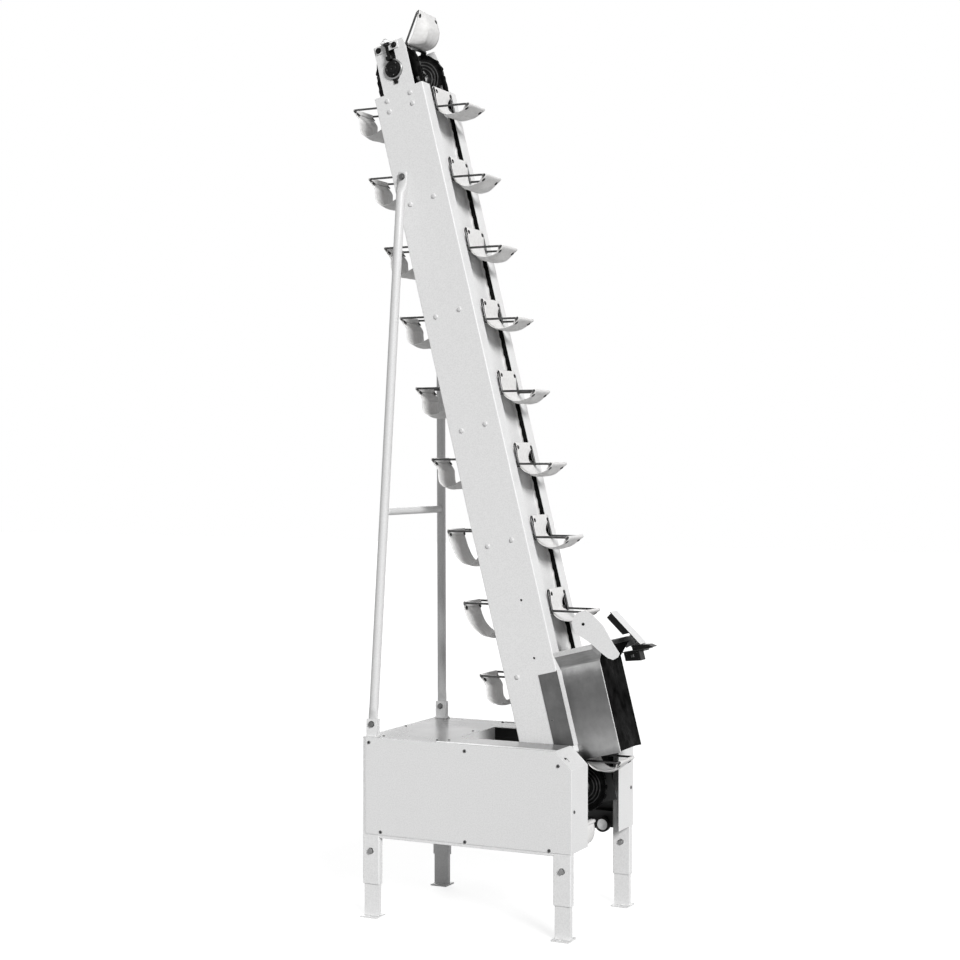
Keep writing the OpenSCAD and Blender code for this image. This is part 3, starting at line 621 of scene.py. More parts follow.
def bolt_head(name, radius, height, sides, recess=0.0, washer=0.0, domed=False):
    """A bolt or screw head on the plane z = 0, its top towards +Z."""
    bm = bmesh.new()
    base = 0.0
    if washer:
        base, cut = 0.0016, 0.0004
        turned(bm, ((0, 0), (washer, 0), (washer, base - cut), (washer - cut, base), (0, base)))
    if domed:
        top = base + height
        turned(bm, ((0, base), (radius, base), (radius, base + 0.0005),
                    (radius * 0.93, base + height * 0.5), (radius * 0.72, base + height * 0.84),
                    (radius * 0.4, top), (0, top)), segments=sides)
        return as_template(bm, name)
    made = bmesh.ops.create_cone(bm, cap_ends=True, segments=sides, radius1=radius, radius2=radius,
                                 depth=height, matrix=moved_by(0, 0, base + height / 2))["verts"]
    top = max(faces_of(made), key=lambda f: f.calc_center_median().z)
    rounded(bm, list(top.edges), height * 0.22)
    if recess:
        top = max(bm.faces, key=lambda f: (round(f.calc_center_median().z, 6), f.calc_area()))
        width = min(e.calc_length() for e in top.edges)
        inner = width / 2 / math.sin(math.pi / sides) - recess
        bmesh.ops.inset_region(bm, faces=[top], thickness=inner, depth=0)
        bmesh.ops.inset_region(bm, faces=[top], thickness=recess * 0.08, depth=-height * 0.55)
        # painted shade: the socket's floor takes the piece's second finish, which is dark wherever
        # these heads are used
        top.material_index = 1
    return as_template(bm, name)


SMALL_HEX = bolt_head("small_hex", 0.0036, 0.0026, 6)
HEX_NUT = bolt_head("hex_nut", 0.0085, 0.0050, 6)
HEX_BLACK = bolt_head("hex_black", 0.0068, 0.0042, 6, washer=0.0082)
LEG_HEX = bolt_head("leg_hex", 0.0080, 0.0059, 6, washer=0.0088)
STAY_HEX = bolt_head("stay_hex", 0.0080, 0.0044, 6, washer=0.0090)
DOME = bolt_head("dome", 0.0070, 0.0036, 20, domed=True)
PANEL_SCREW = bolt_head("panel_screw", 0.0046, 0.0021, 18, recess=0.0022)
TOP_SCREW = bolt_head("top_screw", 0.0034, 0.0014, 14, recess=0.0016)
NUT = bolt_head("nut", 0.0065, 0.0048, 6)
POPPER = bolt_head("popper", 0.0058, 0.0019, 12, domed=True)


# Camera, lights and floor

CAMERA_AT = (2.1483, -4.4716, 1.2371)
CAMERA_AZIMUTH = math.radians(26.27)
CAMERA_TIP = math.radians(0.58)
LENS_MM = 67.66


def make_camera():
    azimuth, tip = CAMERA_AZIMUTH, CAMERA_TIP
    right = Vector((math.cos(azimuth), math.sin(azimuth), 0))
    ahead = Vector((-math.sin(azimuth) * math.cos(tip), math.cos(azimuth) * math.cos(tip),
                    -math.sin(tip)))
    turn = Matrix((right, right.cross(ahead), -ahead)).transposed().to_4x4()
    data = bpy.data.cameras.new("camera")
    data.sensor_width = 36
    data.lens = LENS_MM
    camera = in_scene("camera", data)
    camera.matrix_world = moved_by(*CAMERA_AT) @ turn
    bpy.context.scene.camera = camera


def make_sun(name, azimuth, height, strength, spread_angle):
    """A sun that stands at an azimuth seen from the object, 0 towards -Y and 90 towards +X."""
    data = bpy.data.lights.new(name, "SUN")
    data.energy = strength
    data.angle = math.radians(spread_angle)
    a, h = math.radians(azimuth), math.radians(height)
    towards = Vector((math.sin(a) * math.cos(h), -math.cos(a) * math.cos(h), math.sin(h)))
    lamp = in_scene(name, data)
    lamp.rotation_mode = "QUATERNION"
    lamp.rotation_quaternion = towards.to_track_quat("Z", "Y")


def seen_directly(tree):
    """1 for camera, mirror and glass rays, so that metal shows the same background."""
    path = add(tree, "ShaderNodeLightPath").outputs
    both = sums(tree, "MAXIMUM", path["Is Camera Ray"], path["Is Glossy Ray"])
    return sums(tree, "MAXIMUM", both, path["Is Transmission Ray"])


def make_world(strength):
    world = bpy.data.worlds.new("studio")
    bpy.context.scene.world = world
    world.use_nodes = True
    tree = world.node_tree
    tree.nodes.clear()
    soft, white = (add(tree, "ShaderNodeBackground", {"Color": colour(1.0), "Strength": level})
                   for level in (strength, 1.0))
    both = add(tree, "ShaderNodeMixShader",
               {0: seen_directly(tree), 1: soft.outputs[0], 2: white.outputs[0]})
    add(tree, "ShaderNodeOutputWorld", {0: both.outputs[0]})


def make_floor():
    """A pale floor that shows white where it is lit and keeps a faint shadow."""
    bm = bmesh.new()
    bmesh.ops.create_grid(bm, x_segments=1, y_segments=1, size=20)
    floor = in_scene("floor", as_template(bm, "floor"))
    tree, shader = new_material("floor_pale", Roughness=0.9, Specular_IOR_Level=0.1,
                                          Emission_Color=colour(1.0))
    seen = seen_directly(tree)
    linked(tree, shader, Base_Color=mixed(tree, seen, colour(0.45), colour(0.3)),
           Emission_Strength=sums(tree, "MULTIPLY", seen, 0.82))
    floor.data.materials.append(FINISH["floor_pale"])


make_camera()
bpy.context.scene.view_settings.view_transform = "Standard"
make_world(0.225)
make_sun("key_right", 48, 27, 3.12, 17)
make_sun("fill_behind", 222, 32, 1.35, 40)
make_floor()


# Chain and pockets

def chain_place(p, on_pin=False):
    """The frame at length p along the chain loop: X outward, Z along the run."""
    radius = GEAR_R if on_pin else GEAR_R * math.cos(math.pi / TEETH)
    if p > HEAD_S + HALF_WRAP:
        back = at_mast(DRIVE_U, 0, 2 * HEAD_S + HALF_WRAP - p)
        return back @ about(math.pi, "Y") @ moved_by(GEAR_R)
    if p > HEAD_S:
        turn = about(-(p - HEAD_S) / PITCH * TOOTH_TURN, "Y")
        return at_mast(DRIVE_U, 0, HEAD_S) @ turn @ moved_by(radius)
    if p >= TAIL_S:
        return at_mast(DRIVE_U + GEAR_R, 0, p)
    turn = about((TAIL_S - p) / PITCH * TOOTH_TURN, "Y")
    return at_mast(DRIVE_U, 0, TAIL_S) @ turn @ moved_by(radius)


def link_plate(y, half_thick, waist):
    """One waisted chain plate from pin to pin along Z."""
    bm = bmesh.new()
    made = bmesh.ops.create_circle(bm, cap_ends=True, segments=12, radius=PLATE_HH,
                                   matrix=about(math.pi / 2, "X"))["verts"]
    bmesh.ops.translate(bm, vec=(0, 0, PITCH), verts=[v for v in made if v.co.z > JOINED])
    long_edges = [e for e in bm.edges if e.calc_length() > PITCH * 0.7]
    bmesh.ops.subdivide_edges(bm, edges=long_edges, cuts=3)
    for v in bm.verts:
        if 0.2 * PITCH < v.co.z < 0.8 * PITCH:
            dip = 1 - abs(v.co.z / PITCH - 0.5) / 0.3
            v.co.x *= 1 - waist * max(0.0, dip)
    grown = bmesh.ops.extrude_face_region(bm, geom=list(bm.faces))["geom"]
    bmesh.ops.translate(bm, vec=(0, 2 * half_thick, 0),
                        verts=[v for v in grown if isinstance(v, bmesh.types.BMVert)])
    bmesh.ops.translate(bm, vec=(0, y - half_thick, 0), verts=bm.verts)
    bmesh.ops.recalc_face_normals(bm, faces=bm.faces)
    return bm


def link_template(outer):
    """Two plates with the pin and roller at their lower end."""
    whole = bmesh.new()
    for side in (-1, 1):
        y = side * (INNER_W / 2 + LINK_T / 2 + (LINK_T if outer else 0))
        part = as_template(link_plate(y, LINK_T / 2 - 0.00003, 0.28), "plate")
        whole.from_mesh(part)
        bpy.data.meshes.remove(part)
    y_drum(whole, 0.002, 0.0080, 8)
    inked(y_drum(whole, ROLLER_R, INNER_W / 2 - 0.0001, 12), 1)
    return as_template(whole, "link_outer" if outer else "link_inner")


def lug_template():
    """Bent lugs that join a pocket's base strip to both chains."""
    bm = bmesh.new()
    inside = CHAIN_Y - INNER_W / 2 - 2 * LINK_T
    low, foot = PLATE_HH - 0.0013, inside - 0.0065
    for side in (-1, 1):
        for x0, x1, a, b in ((low, PLATE_HH + 0.0002, inside - 0.008, inside + 0.0015),
                             (low, STRIP_X, inside - 0.008, foot),
                             (STRIP_X - 0.0015, STRIP_X, 0.034, foot)):
            y0, y1 = sorted((side * a, side * b))
            lug = block(bm, x0, x1, y0, y1, -STRIP_HALF_Z, STRIP_HALF_Z)
            rounded(bm, edges_of(lug), 0.0003)
    return as_template(bm, "lug")


LINKS = [link_template(False), link_template(True)]
LUG = lug_template()


def chain_piece(name, first, last, pockets, node):
    """Roller chain on both sides between two pins, with the lugs of its pockets."""
    places = [[], []]
    for i in range(first, last):
        start = chain_place(PIN_S + i * PITCH, on_pin=True).translation
        end = chain_place(PIN_S + (i + 1) * PITCH, on_pin=True).translation
        step = (end - start).normalized()
        middle = chain_place(PIN_S + (i + 0.5) * PITCH)
        along = (middle.to_3x3() @ Vector((0, 0, 1))).normalized()
        place = moved_by(*start)
        if step.dot(along) < 0.999:
            place = place @ along.rotation_difference(step).to_matrix().to_4x4()
        place = place @ middle.to_3x3().to_4x4()
        places[(i - first) % 2] += [place @ moved_by(0, -CHAIN_Y), place @ moved_by(0, CHAIN_Y)]
    bm = bmesh.new()
    for link, spots in zip(LINKS, places):
        stamped(bm, link, spots)
    stamped(bm, LUG, [chain_place(FIRST_S + k * POCKET_STEP) for k in pockets])
    finished(bm, name, "chain_steel roller_steel", node)


def bent_wire(bm, start, heading, axis, leg):
    """One bow of round bar by extruding and spinning a ring: a leg, straight across and back."""
    before = set(bm.verts)
    at, heading, axis = Vector(start), Vector(heading), Vector(axis)
    tilt = heading.to_track_quat("Z", "Y").to_matrix().to_4x4()
    ring = bmesh.ops.create_circle(bm, cap_ends=True, segments=12, radius=WIRE_R,
                                   matrix=moved_by(*at) @ tilt)["verts"]
    edges = list(ring[0].link_faces[0].edges)
    turn = Matrix.Rotation(math.pi / 2, 3, axis)
    for length, bends in ((leg, True), (2 * (WIRE_Y - WIRE_BEND), True), (leg, False)):
        edges, fresh = extruded(bm, edges)
        bmesh.ops.translate(bm, vec=heading * length, verts=fresh)
        at = at + heading * length
        if bends:
            centre = at + axis.cross(heading).normalized() * WIRE_BEND
            done = bmesh.ops.spin(bm, geom=edges, cent=centre, axis=axis, angle=math.pi / 2,
                                  steps=5, use_merge=False)["geom_last"]
            edges = [g for g in done if isinstance(g, bmesh.types.BMEdge)]
            at = centre + turn @ (at - centre)
            heading = (turn @ heading).normalized()
    bmesh.ops.edgeloop_fill(bm, edges=edges)
    return [v for v in bm.verts if v not in before]


def frame_template():
    """The wire frame of one pocket: level bow, upright loop and the strip they stand on."""
    bm = bmesh.new()
    bow = bent_wire(bm, (0, -WIRE_Y, 0), (1, 0, 0), (0, 0, 1), WIRE_REACH - WIRE_BEND)
    moved(bm, bow, moved_by(BOW_X) @ about(LEAN, "Y"))
    bent_wire(bm, (WIRE_X, -WIRE_Y, LOOP_FOOT), (0, 0, 1), (-1, 0, 0),
              LOOP_TOP - WIRE_BEND - LOOP_FOOT)
    strip = block(bm, STRIP_X, STRIP_OUT, -STRIP_HALF_Y, STRIP_HALF_Y, -STRIP_HALF_Z, STRIP_HALF_Z)
    rounded(bm, [e for e in edges_of(strip) if e.calc_length() > 0.003], 0.0004)
    bmesh.ops.recalc_face_normals(bm, faces=bm.faces)
    return as_template(bm, "pocket_frame")


FRAME = frame_template()


def bezier(points, t):
    a, b, c, d = (Vector(p) for p in points)
    return a * (1 - t) ** 3 + b * 3 * t * (1 - t) ** 2 + c * 3 * t * t * (1 - t) + d * t ** 3


def arc(centre, radius, start, end, count):
    """Points on a circle in X and Z, angles in degrees from +X towards +Z."""
    angles = [math.radians(start + (end - start) * i / count) for i in range(count + 1)]
    return [Vector((centre[0] + radius * math.cos(a), centre[1] + radius * math.sin(a)))
            for a in angles]


def smooth_line(points, count):
    """Points along a smooth curve that passes through all the given ones."""
    points = [Vector(p) for p in points]
    ends = [points[0] * 2 - points[1]] + points + [points[-1] * 2 - points[-2]]
    spans = len(points) - 1
    line = []
    for i in range(count):
        t = i / (count - 1) * spans
        j = min(int(t), spans - 1)
        a, b, c, d = ends[j:j + 4]
        line.append(bezier([b, b + (c - a) / 6, c - (d - b) / 6, c], t - j))
    return line


def held(value):
    return min(1.0, max(0.0, value))


# the outer bar's centre and the loop's top, seen from the side of a pocket
BAR = (BOW_X + WIRE_REACH * math.cos(LEAN), -WIRE_REACH * math.sin(LEAN))
LOOP = (WIRE_X, LOOP_TOP)
WRAP_R = WIRE_R + 0.0004 + CLOTH_T / 2


def falling_section(near, middle, change):
    """Loop's hem, belly and bar's hem of a cloth that lies over on the way down."""
    face = LOOP[0] + WRAP_R + CLOTH_T + LIFT
    start = [Vector((face, 0.037 + 0.018 * i / 4)) for i in range(4)]
    curve = [(x + 0.002 * near, z - 0.005 * near * min(1, z / 0.03) + 0.003 * middle * (z > 0.04))
             for x, z in change["curve"]]
    belly = smooth_line([(face, 0.055)] + curve + [(BAR[0] + WRAP_R, BAR[1])], 31)
    return start, belly, arc(BAR, WRAP_R, -20, -170, 8), -1


def climbing_section(near, middle, change):
    """Loop's hem, belly and bar's hem of a cloth that hangs as a pouch on the way up."""
    face = LOOP[0] + WRAP_R
    flap = [Vector((LOOP[0] + LIFT, 0.0425)), Vector((LOOP[0] - WRAP_R * 0.8, 0.049))]
    hem = [Vector((face, z)) for z in (0.051, 0.0465)]
    back = [(face, 0.0415), (face, 0.030), (STRIP_OUT + 0.0011, 0.020),
            (STRIP_OUT + 0.0009, 0.002)]
    deep = change["deep"]
    p1, p2, fold, ahead = (
        Vector((x, z - deep * share)).lerp(Vector(edge), near)
        for (x, z, share), edge in zip(((0.016, -0.036, 0.5), (0.036, -0.050, 1),
                                        (0.068, -0.0475, 0.8), (0.086, -0.0385, 0.3)),
                                       change["near"]))
    fold[1] -= 0.003 * middle
    end = Vector((BAR[0] + WRAP_R * 0.72, BAR[1] - WRAP_R * 0.69))
    first = [back[-1], p1, p2, fold]
    second = [fold, fold + (fold - p2).normalized() * 0.007, ahead, end]
    belly = [bezier(back, i / 7) for i in range(8)] + [bezier(first, i / 13) for i in range(1, 14)]
    belly += [bezier(second, i / 10) for i in range(1, 10)]
    return flap + arc(LOOP, WRAP_R, 180, 0, 7) + hem, belly, arc(BAR, WRAP_R, -44, 125, 8), 1


def sling_section(falls, side, change):
    """The cloth's middle line in the pocket's X and Z at one distance across, from the
    loop's hem over the belly to the free flap inside the outer bar's hem."""
    near = held((-0.35 - side) / 0.65)
    near = near * near * (3 - 2 * near)
    section = falling_section if falls else climbing_section
    start, belly, wrap, inward = section(near, 1 - side * side, change)
    along = (belly[-1] - belly[-2]).normalized()
    left = Vector((-along[1], along[0]))
    tip = wrap[-1] - along * 0.004
    end = belly[-1] - along * 0.013 + left * inward * 0.0021
    return start + belly + wrap + [tip.lerp(end, 0.5), end], len(start), len(start) + len(belly)


def cloth_grid(bm, uv, sections, place, shape):
    """One strip of cloth: a grid whose columns run along the sections."""
    across, rows = len(sections) - 1, len(sections[0]) - 1
    made = bmesh.ops.create_grid(bm, x_segments=across, y_segments=rows, size=0.5)["verts"]
    lengths = [0.0]
    middle = sections[across // 2]
    for a, b in zip(middle, middle[1:]):
        lengths.append(lengths[-1] + (b - a).length)
    flat = {}
    for v in made:
        j, i = round((v.co.x + 0.5) * across), round((v.co.y + 0.5) * rows)
        side, line = 2 * j / across - 1, sections[j]
        ahead = line[min(i + 1, rows)] - line[max(i - 1, 0)]
        normal = Vector((-ahead[1], ahead[0])).normalized()
        flat[v] = (side * CLOTH_HALF, lengths[i])
        v.co = place @ shape(line[i], normal, side, i)
    for face in faces_of(made):
        for loop in face.loops:
            loop[uv].uv = flat[loop.vert]
    return lengths[-1]


def stud_places(line, last, side, place, falls):
    """Where the press studs sit at one side: through the loop's hem and the bar's hem."""
    y = side * CLOTH_HALF
    way = -1 if falls else 1
    x = LOOP[0] + WRAP_R + (CLOTH_T + LIFT if falls else 0)
    out = moved_by(x + CLOTH_T / 2, y, STUD_Z) @ about(math.pi / 2, "Y")
    inside = moved_by(LOOP[0] - 0.0010, y, STUD_Z - 0.0005) @ about(-math.pi / 2, "Y")
    back, travel = last, 0.0
    while travel < STUD_BACK:
        travel += (line[back] - line[back - 1]).length
        back -= 1
    here, ahead = line[back], line[back + 1] - line[back - 1]
    turn = math.atan2(ahead[0], ahead[1]) + way * math.pi / 2
    height = here + Vector((ahead[1], -ahead[0])).normalized() * (CLOTH_T / 2) * way
    y *= 0.985  # the cloth draws in a little towards the bar
    studs = [out, inside, moved_by(height[0], y, height[1]) @ about(turn, "Y")]
    if falls:
        under = height * 2 - here + (here - height).normalized() * (0.0026 + 2.5 * CLOTH_T)
        studs.append(moved_by(under[0], y, under[1]) @ about(turn + math.pi, "Y"))
    return [place @ stud for stud in studs]


def sling(name, p, node, falls, k, change):
    """One cloth sling, held on the upright loop and on the outer bar, and its studs' places."""
    place = chain_place(p)
    across = 14
    parts = [sling_section(falls, 2 * j / across - 1, change) for j in range(across + 1)]
    sections = [part[0] for part in parts]
    first, last = parts[0][1], parts[0][2]
    gap = change.get("gap", 0.0)
    gap_from, gap_foot, gap_top = 0.1, -0.004, 0.0415
    crease = change.get("crease", 0.0)

    def shape(point, normal, side, i):
        free = math.sin(math.pi * held((i - first - 1) / (last - first - 2)))
        share = (i - first) / (last - first)
        wave = noise.noise(Vector((side * 1.6 + k * 5.1, share * 4.0, k * 1.3)))
        shift = 0.0020 * wave * free
        if crease:
            middle = (side + 0.85) / 0.95 - (1 - share) / 0.62
            shift += crease * free * math.exp(-(middle / 0.16) ** 2)
        y = side * CLOTH_HALF * (1 - 0.03 * free + 0.010 * wave * free)
        pull = 0.0
        if gap and side > gap_from and point[1] < gap_top and point[0] < 0.022:
            up = held((point[1] - gap_foot) / (gap_top - gap_foot))
            pull = gap * math.sin(math.pi * up) ** 0.7 * ((side - gap_from) / 0.9) ** 1.4
        point = point + normal * shift * (-1 if falls else 1)
        return Vector((point[0] - 0.25 * pull, y - pull, point[1]))

    bm = bmesh.new()
    uv = bm.loops.layers.uv.new("UVMap")
    total = cloth_grid(bm, uv, sections, place, shape)
    if falls:
        back, front = LOOP[0] - WRAP_R, LOOP[0] + WRAP_R
        line = [Vector((LOOP[0] - 0.001, 0.0415)), Vector((back + 0.0008, 0.048))]
        line += arc(LOOP, WRAP_R, 180, 0, 8) + [Vector((front, 0.046)), Vector((front, 0.039))]
        total += cloth_grid(bm, uv, [line] * 9, place,
                            lambda q, n, side, i: Vector((q[0], side * CLOTH_HALF, q[1])))
    piece = finished(bm, name, "sling_cloth", node, smooth_angle=60)
    cloth = piece.modifiers.new("thickness", "SOLIDIFY")
    cloth.thickness = CLOTH_T
    cloth.offset = 0
    return [stud for side in (-0.86, 0.86) for stud in stud_places(
        sections[round((side + 1) / 2 * across)], last, side, place, falls)]


# how each cloth hangs: the near edge's curve points, extra depth, the far edge's gap
NEAR_ROUND = ((0.016, -0.026), (0.045, -0.040), (0.068, -0.0385), (0.090, -0.0425))
NEAR_TAUT = ((0.017, -0.024), (0.045, -0.034), (0.066, -0.0350), (0.088, -0.0365))
NEAR_LEG = ((0.017, -0.0075), (0.040, -0.0125), (0.066, -0.0190), (0.086, -0.0250))
CLIMBING = {"near": NEAR_ROUND, "deep": -0.006}
FALLING = {"curve": ((0.0400, 0.0615), (0.0660, 0.0670), (0.0890, 0.0625), (0.1005, 0.0460),
                     (0.0985, 0.0250), (0.0965, 0.0080))}
HANGS = {
    8: {"near": NEAR_LEG, "deep": -0.002, "crease": 0.0045},
    7: {"near": NEAR_TAUT, "deep": -0.013, "gap": 0.019},
    6: {"near": NEAR_ROUND, "deep": -0.003},
    5: {"near": NEAR_ROUND, "deep": -0.003},
    4: {"near": NEAR_ROUND, "deep": -0.011, "gap": 0.009},
    2: {"near": NEAR_ROUND, "deep": -0.005, "gap": 0.018},
    1: {"near": NEAR_ROUND, "deep": -0.007, "gap": 0.014},
    0: {"near": NEAR_ROUND, "deep": -0.009, "gap": 0.015},
    15: {"curve": ((0.0340, 0.0725), (0.0540, 0.0850), (0.0780, 0.0810), (0.0960, 0.0620),
                   (0.1060, 0.0290))},
    16: {"curve": ((0.0370, 0.0790), (0.0560, 0.0860), (0.0780, 0.0740), (0.1000, 0.0450),
                   (0.1095, 0.0120))},
    -3: {"curve": ((0.0400, 0.0600), (0.0640, 0.0600), (0.0850, 0.0440), (0.1020, 0.0160))},
}

# the first pins of the front run and the rear run, the last of the front run and the loop
LOW_PIN = math.ceil((TAIL_S - PIN_S) / PITCH)
HIGH_PIN = math.floor((HEAD_S - PIN_S) / PITCH)
REAR_PIN = HIGH_PIN + TEETH // 2 + 1
END_PIN = LOW_PIN + POCKET_LINKS * POCKET_COUNT - 1

for run, first, last, pockets in (
        ("front", LOW_PIN, HIGH_PIN, range(-2, 8)),
        ("rear", REAR_PIN, END_PIN - TEETH // 2, range(9, 19)),
        ("head", HIGH_PIN + 1, REAR_PIN - 1, (8,)),
        ("tail", LOW_PIN - TEETH // 2, LOW_PIN - 1, (-3,))):
    chain_piece(run + "_chain_links", first, last, pockets, run + "_chain")
    plural = "s" if len(pockets) > 1 else ""
    falls = run in ("rear", "tail")
    wires, studs, places = bmesh.new(), bmesh.new(), []
    stamped(wires, FRAME, [chain_place(FIRST_S + k * POCKET_STEP) for k in pockets])
    finished(wires, run + "_wire_frames", "wire_steel", run + "_frame" + plural)
    for k in pockets:
        places += sling(f"sling_{run}_{k + 3:02d}", FIRST_S + k * POCKET_STEP,
                        run + "_sling" + plural, falls, k,
                        HANGS.get(k, FALLING if falls else CLIMBING))
    stamped(studs, POPPER, places)
    finished(studs, run + "_poppers", "snap_black", "pocket_bolts_" + run)


# Head and tail: bearings, take-up, wheels and shafts

def head_bearings():
    """A flat black insert in a thin steel ring on each head plate, with its tab and pull block."""
    bm = bmesh.new()
    for side in (-1, 1):
        place = at_mast(DRIVE_U, side * (MAST_HALF - WALL), HEAD_S) @ outward(side)
        ring = ((0.0218, 0.0003), (0.0282, 0.0003), (0.0282, 0.0048), (0.0270, 0.0060),
                (0.0244, 0.0060), (0.0228, 0.0048), (0.0218, 0.0032))
        inked(turned(bm, ring, place, 48, closed=True), 1)
        insert = ((0.0128, 0.0003), (0.0217, 0.0003), (0.0220, 0.0090), (0.0206, 0.0114),
                  (0.0168, 0.0122), (0.0152, 0.0106), (0.0128, 0.0106))
        turned(bm, insert, place, 40, closed=True)
        for turn in (0.6, 2.7, 4.8):
            dot = place @ about(turn, "Z") @ moved_by(0.0186, 0, 0.0116)
            inked(turned(bm, ((0, 0), (0.0015, 0), (0.0012, 0.0012), (0, 0.0013)), dot, 8), 1)
        tab = place @ about(0 if side < 0 else math.pi, "Z")
        rounded_block(bm, (-0.0065, 0.0065, -0.0415, -0.0275, 0.0003, 0.0045), 0.0012, tab)
        rounded_block(bm, (-0.0085, 0.0085, 0.0240, 0.0345, 0.0003, 0.0190), 0.0012, tab)
    finished(bm, "head_bearing_rings", "bearing_black grey_steel", "head_bearings")


def tail_bearings():
    """Stepped black caps with four bolts each, on both sides of the mast."""
    bm = bmesh.new()
    cap = ((0.0128, 0.0), (0.034, 0.0), (0.034, 0.0072), (0.0328, 0.0085), (0.0282, 0.0088),
           (0.0276, 0.0105), (0.0272, 0.0200), (0.0258, 0.0216), (0.0175, 0.0218),
           (0.0160, 0.0205), (0.0128, 0.0205))
    for side in (-1, 1):
        place = at_mast(DRIVE_U, side * (MAST_HALF + 0.0002), TAIL_S) @ outward(side)
        turned(bm, cap, place, 40, closed=True)
        stamped(bm, SMALL_HEX, ring_of(place, 4, 0.0308, 0.0078, math.pi / 4))
    finished(bm, "tail_bearing_caps", "cast_black dark_steel", "tail_bearings")


def shaft(node, s, y0, y1, reach):
    """A round bar with chamfered, centre-drilled ends; its outer ends are oiled black."""
    bm = bmesh.new()
    rim, hole = SHAFT_R - 0.0012, 0.0036
    turned(bm, ((0, y0 + 0.003), (0.0022, y0 + 0.0015), (hole, y0), (rim, y0),
                (SHAFT_R, y0 + 0.0012), (SHAFT_R, y0 + reach), (SHAFT_R, y1 - reach),
                (SHAFT_R, y1 - 0.0012), (rim, y1), (hole, y1), (0.0022, y1 - 0.0015),
                (0, y1 - 0.003)), at_mast(DRIVE_U, 0, s) @ about(-math.pi / 2, "X"), 32)
    oiled = min(abs(y0), abs(y1)) - reach * 1.1
    shaded(bm, lambda c, n: 1 if abs((OFF_MAST @ c).y) > oiled else 0)
    finished(bm, node + "_bar", "steel bearing_black", node)


def wheels(node, s, name):
    """Toothed wheels with turned rings on their inner faces and a bright hub."""
    def rule(c, n):
        c = OFF_MAST @ c
        return 2 if math.hypot(c.x - DRIVE_U, c.z - s) < 0.0263 and abs(c.y) < 0.0652 else 0

    bm = copied(node)
    shaded(bm, rule)
    for side in (-1, 1):
        place = at_mast(DRIVE_U, side * (CHAIN_Y - 0.0036), s) @ outward(-side)
        for r in (0.0335, 0.0425, 0.0515):
            ring = ((r - 0.0016, 0), (r + 0.0016, 0), (r + 0.0010, 0.0009), (r - 0.0010, 0.0009))
            inked(turned(bm, ring, place, 48, closed=True), 1)
        stamped(bm, SMALL_HEX, ring_of(place, 4, 0.0205, 0.0144, 0.3))
    finished(bm, name, "wheel_steel dark_steel bright_steel", node)


def take_up():
    """Threaded tension rods with their nuts, and the bolts that hold their brackets."""
    bm = bmesh.new()
    rim, root, crest, step, foot = 0.0040, 0.0042, 0.0050, 0.0024, -0.0440
    thread = [(0, foot - 0.0005), (rim, foot - 0.0005)]
    for i in range(21):
        thread += [(root, foot + i * step), (crest, foot + (i + 0.5) * step)]
    thread += [(rim, 0.0076), (0, 0.0079)]
    for side in (-1, 1):
        stem = at_mast(DRIVE_U, side * 0.1125, HEAD_TOP)
        turned(bm, thread, stem, 14)
        stamped(bm, HEX_NUT, [stem, stem @ moved_by(0, 0, -0.0115)])
        stamped(bm, HEX_BLACK, [
            at_mast(DRIVE_U + du, side * 0.1015, HEAD_TOP - 0.012) @ outward(side)
            for du in (-0.032, 0.018)])
    shaded(bm, lambda c, n: 1 if (OFF_MAST @ c).z > HEAD_TOP + 0.0001 else 0)
    finished(bm, "take_up_rods", "bearing_black grey_steel", "take_up_screws")


head_bearings()
tail_bearings()
shaft("head_shaft", HEAD_S, -0.1100, 0.1100, 0.012)
shaft("tail_shaft", TAIL_S, -0.127, 0.179, 0.020)
wheels("head_sprockets", HEAD_S, "head_wheels")
wheels("tail_sprockets", TAIL_S, "tail_wheels")
take_up()


# Mast

def on_mast_fold(e):
    """The long outer folds of a mast channel."""
    middle, _, length = line_of(e)
    middle = OFF_MAST @ middle
    outer = abs(abs(middle.y) - MAST_HALF) < 0.0004
    at_fold = min(abs(middle.x), abs(middle.x + MAST_DEEP)) < 0.0004
    return outer and at_fold and length > 0.02


def mast_bolts():
    """Domed painted heads on the mast's sides, with plain nuts inside."""
    bm = bmesh.new()
    rows = (ROW_REAR, ROW_FRONT)
    plate_t, first, step = 0.006, MAST_HIGH - 0.3165, 0.3216
    spots = [(u, s, plate_t) for s in (MAST_HIGH - 0.018, MAST_HIGH - 0.049) for u in rows]
    spots += [(u, first - i * step, 0) for i in range(4) for u in rows]
    spots += [(ROW_REAR, 0.195, 0)]
    for side in (-1, 1):
        for u, s, plate in spots:
            stamped(bm, DOME, [at_mast(u, side * MAST_HALF, s) @ outward(side)])
            inner = at_mast(u, side * (MAST_HALF - WALL - plate), s) @ outward(-side)
            stamped(bm, NUT, [inner])
    # the heads carry the mast's paint, darkened as painted shade
    finished(bm, "mast_bolt_heads", "bolt_paint steel", "mast_bolts")


for each in ("mast_near", "mast_far"):
    softened(each, "white_paint", 0.0004, 0.05, on_mast_fold, 0.0024)
mast_bolts()


# Cabinet and legs

def upright_edge(e):
    _, way, length = line_of(e)
    return abs(way.z) > 0.99 and length > 0.05


def panel_fold(e):
    """The bent corners of a side panel: the front upright one and the two of the slope."""
    middle, way, length = line_of(e)
    upright = (middle.x > HALF_L + SHEET - 0.0002 and abs(way.z) > 0.9
               and abs(abs(middle.y) - HALF_W - SHEET) < 0.0002)
    across = abs(way.y) > 0.99 and length > 0.05 and middle.z > 0.4
    return upright or (across and e.calc_face_angle(0) > 0.6)


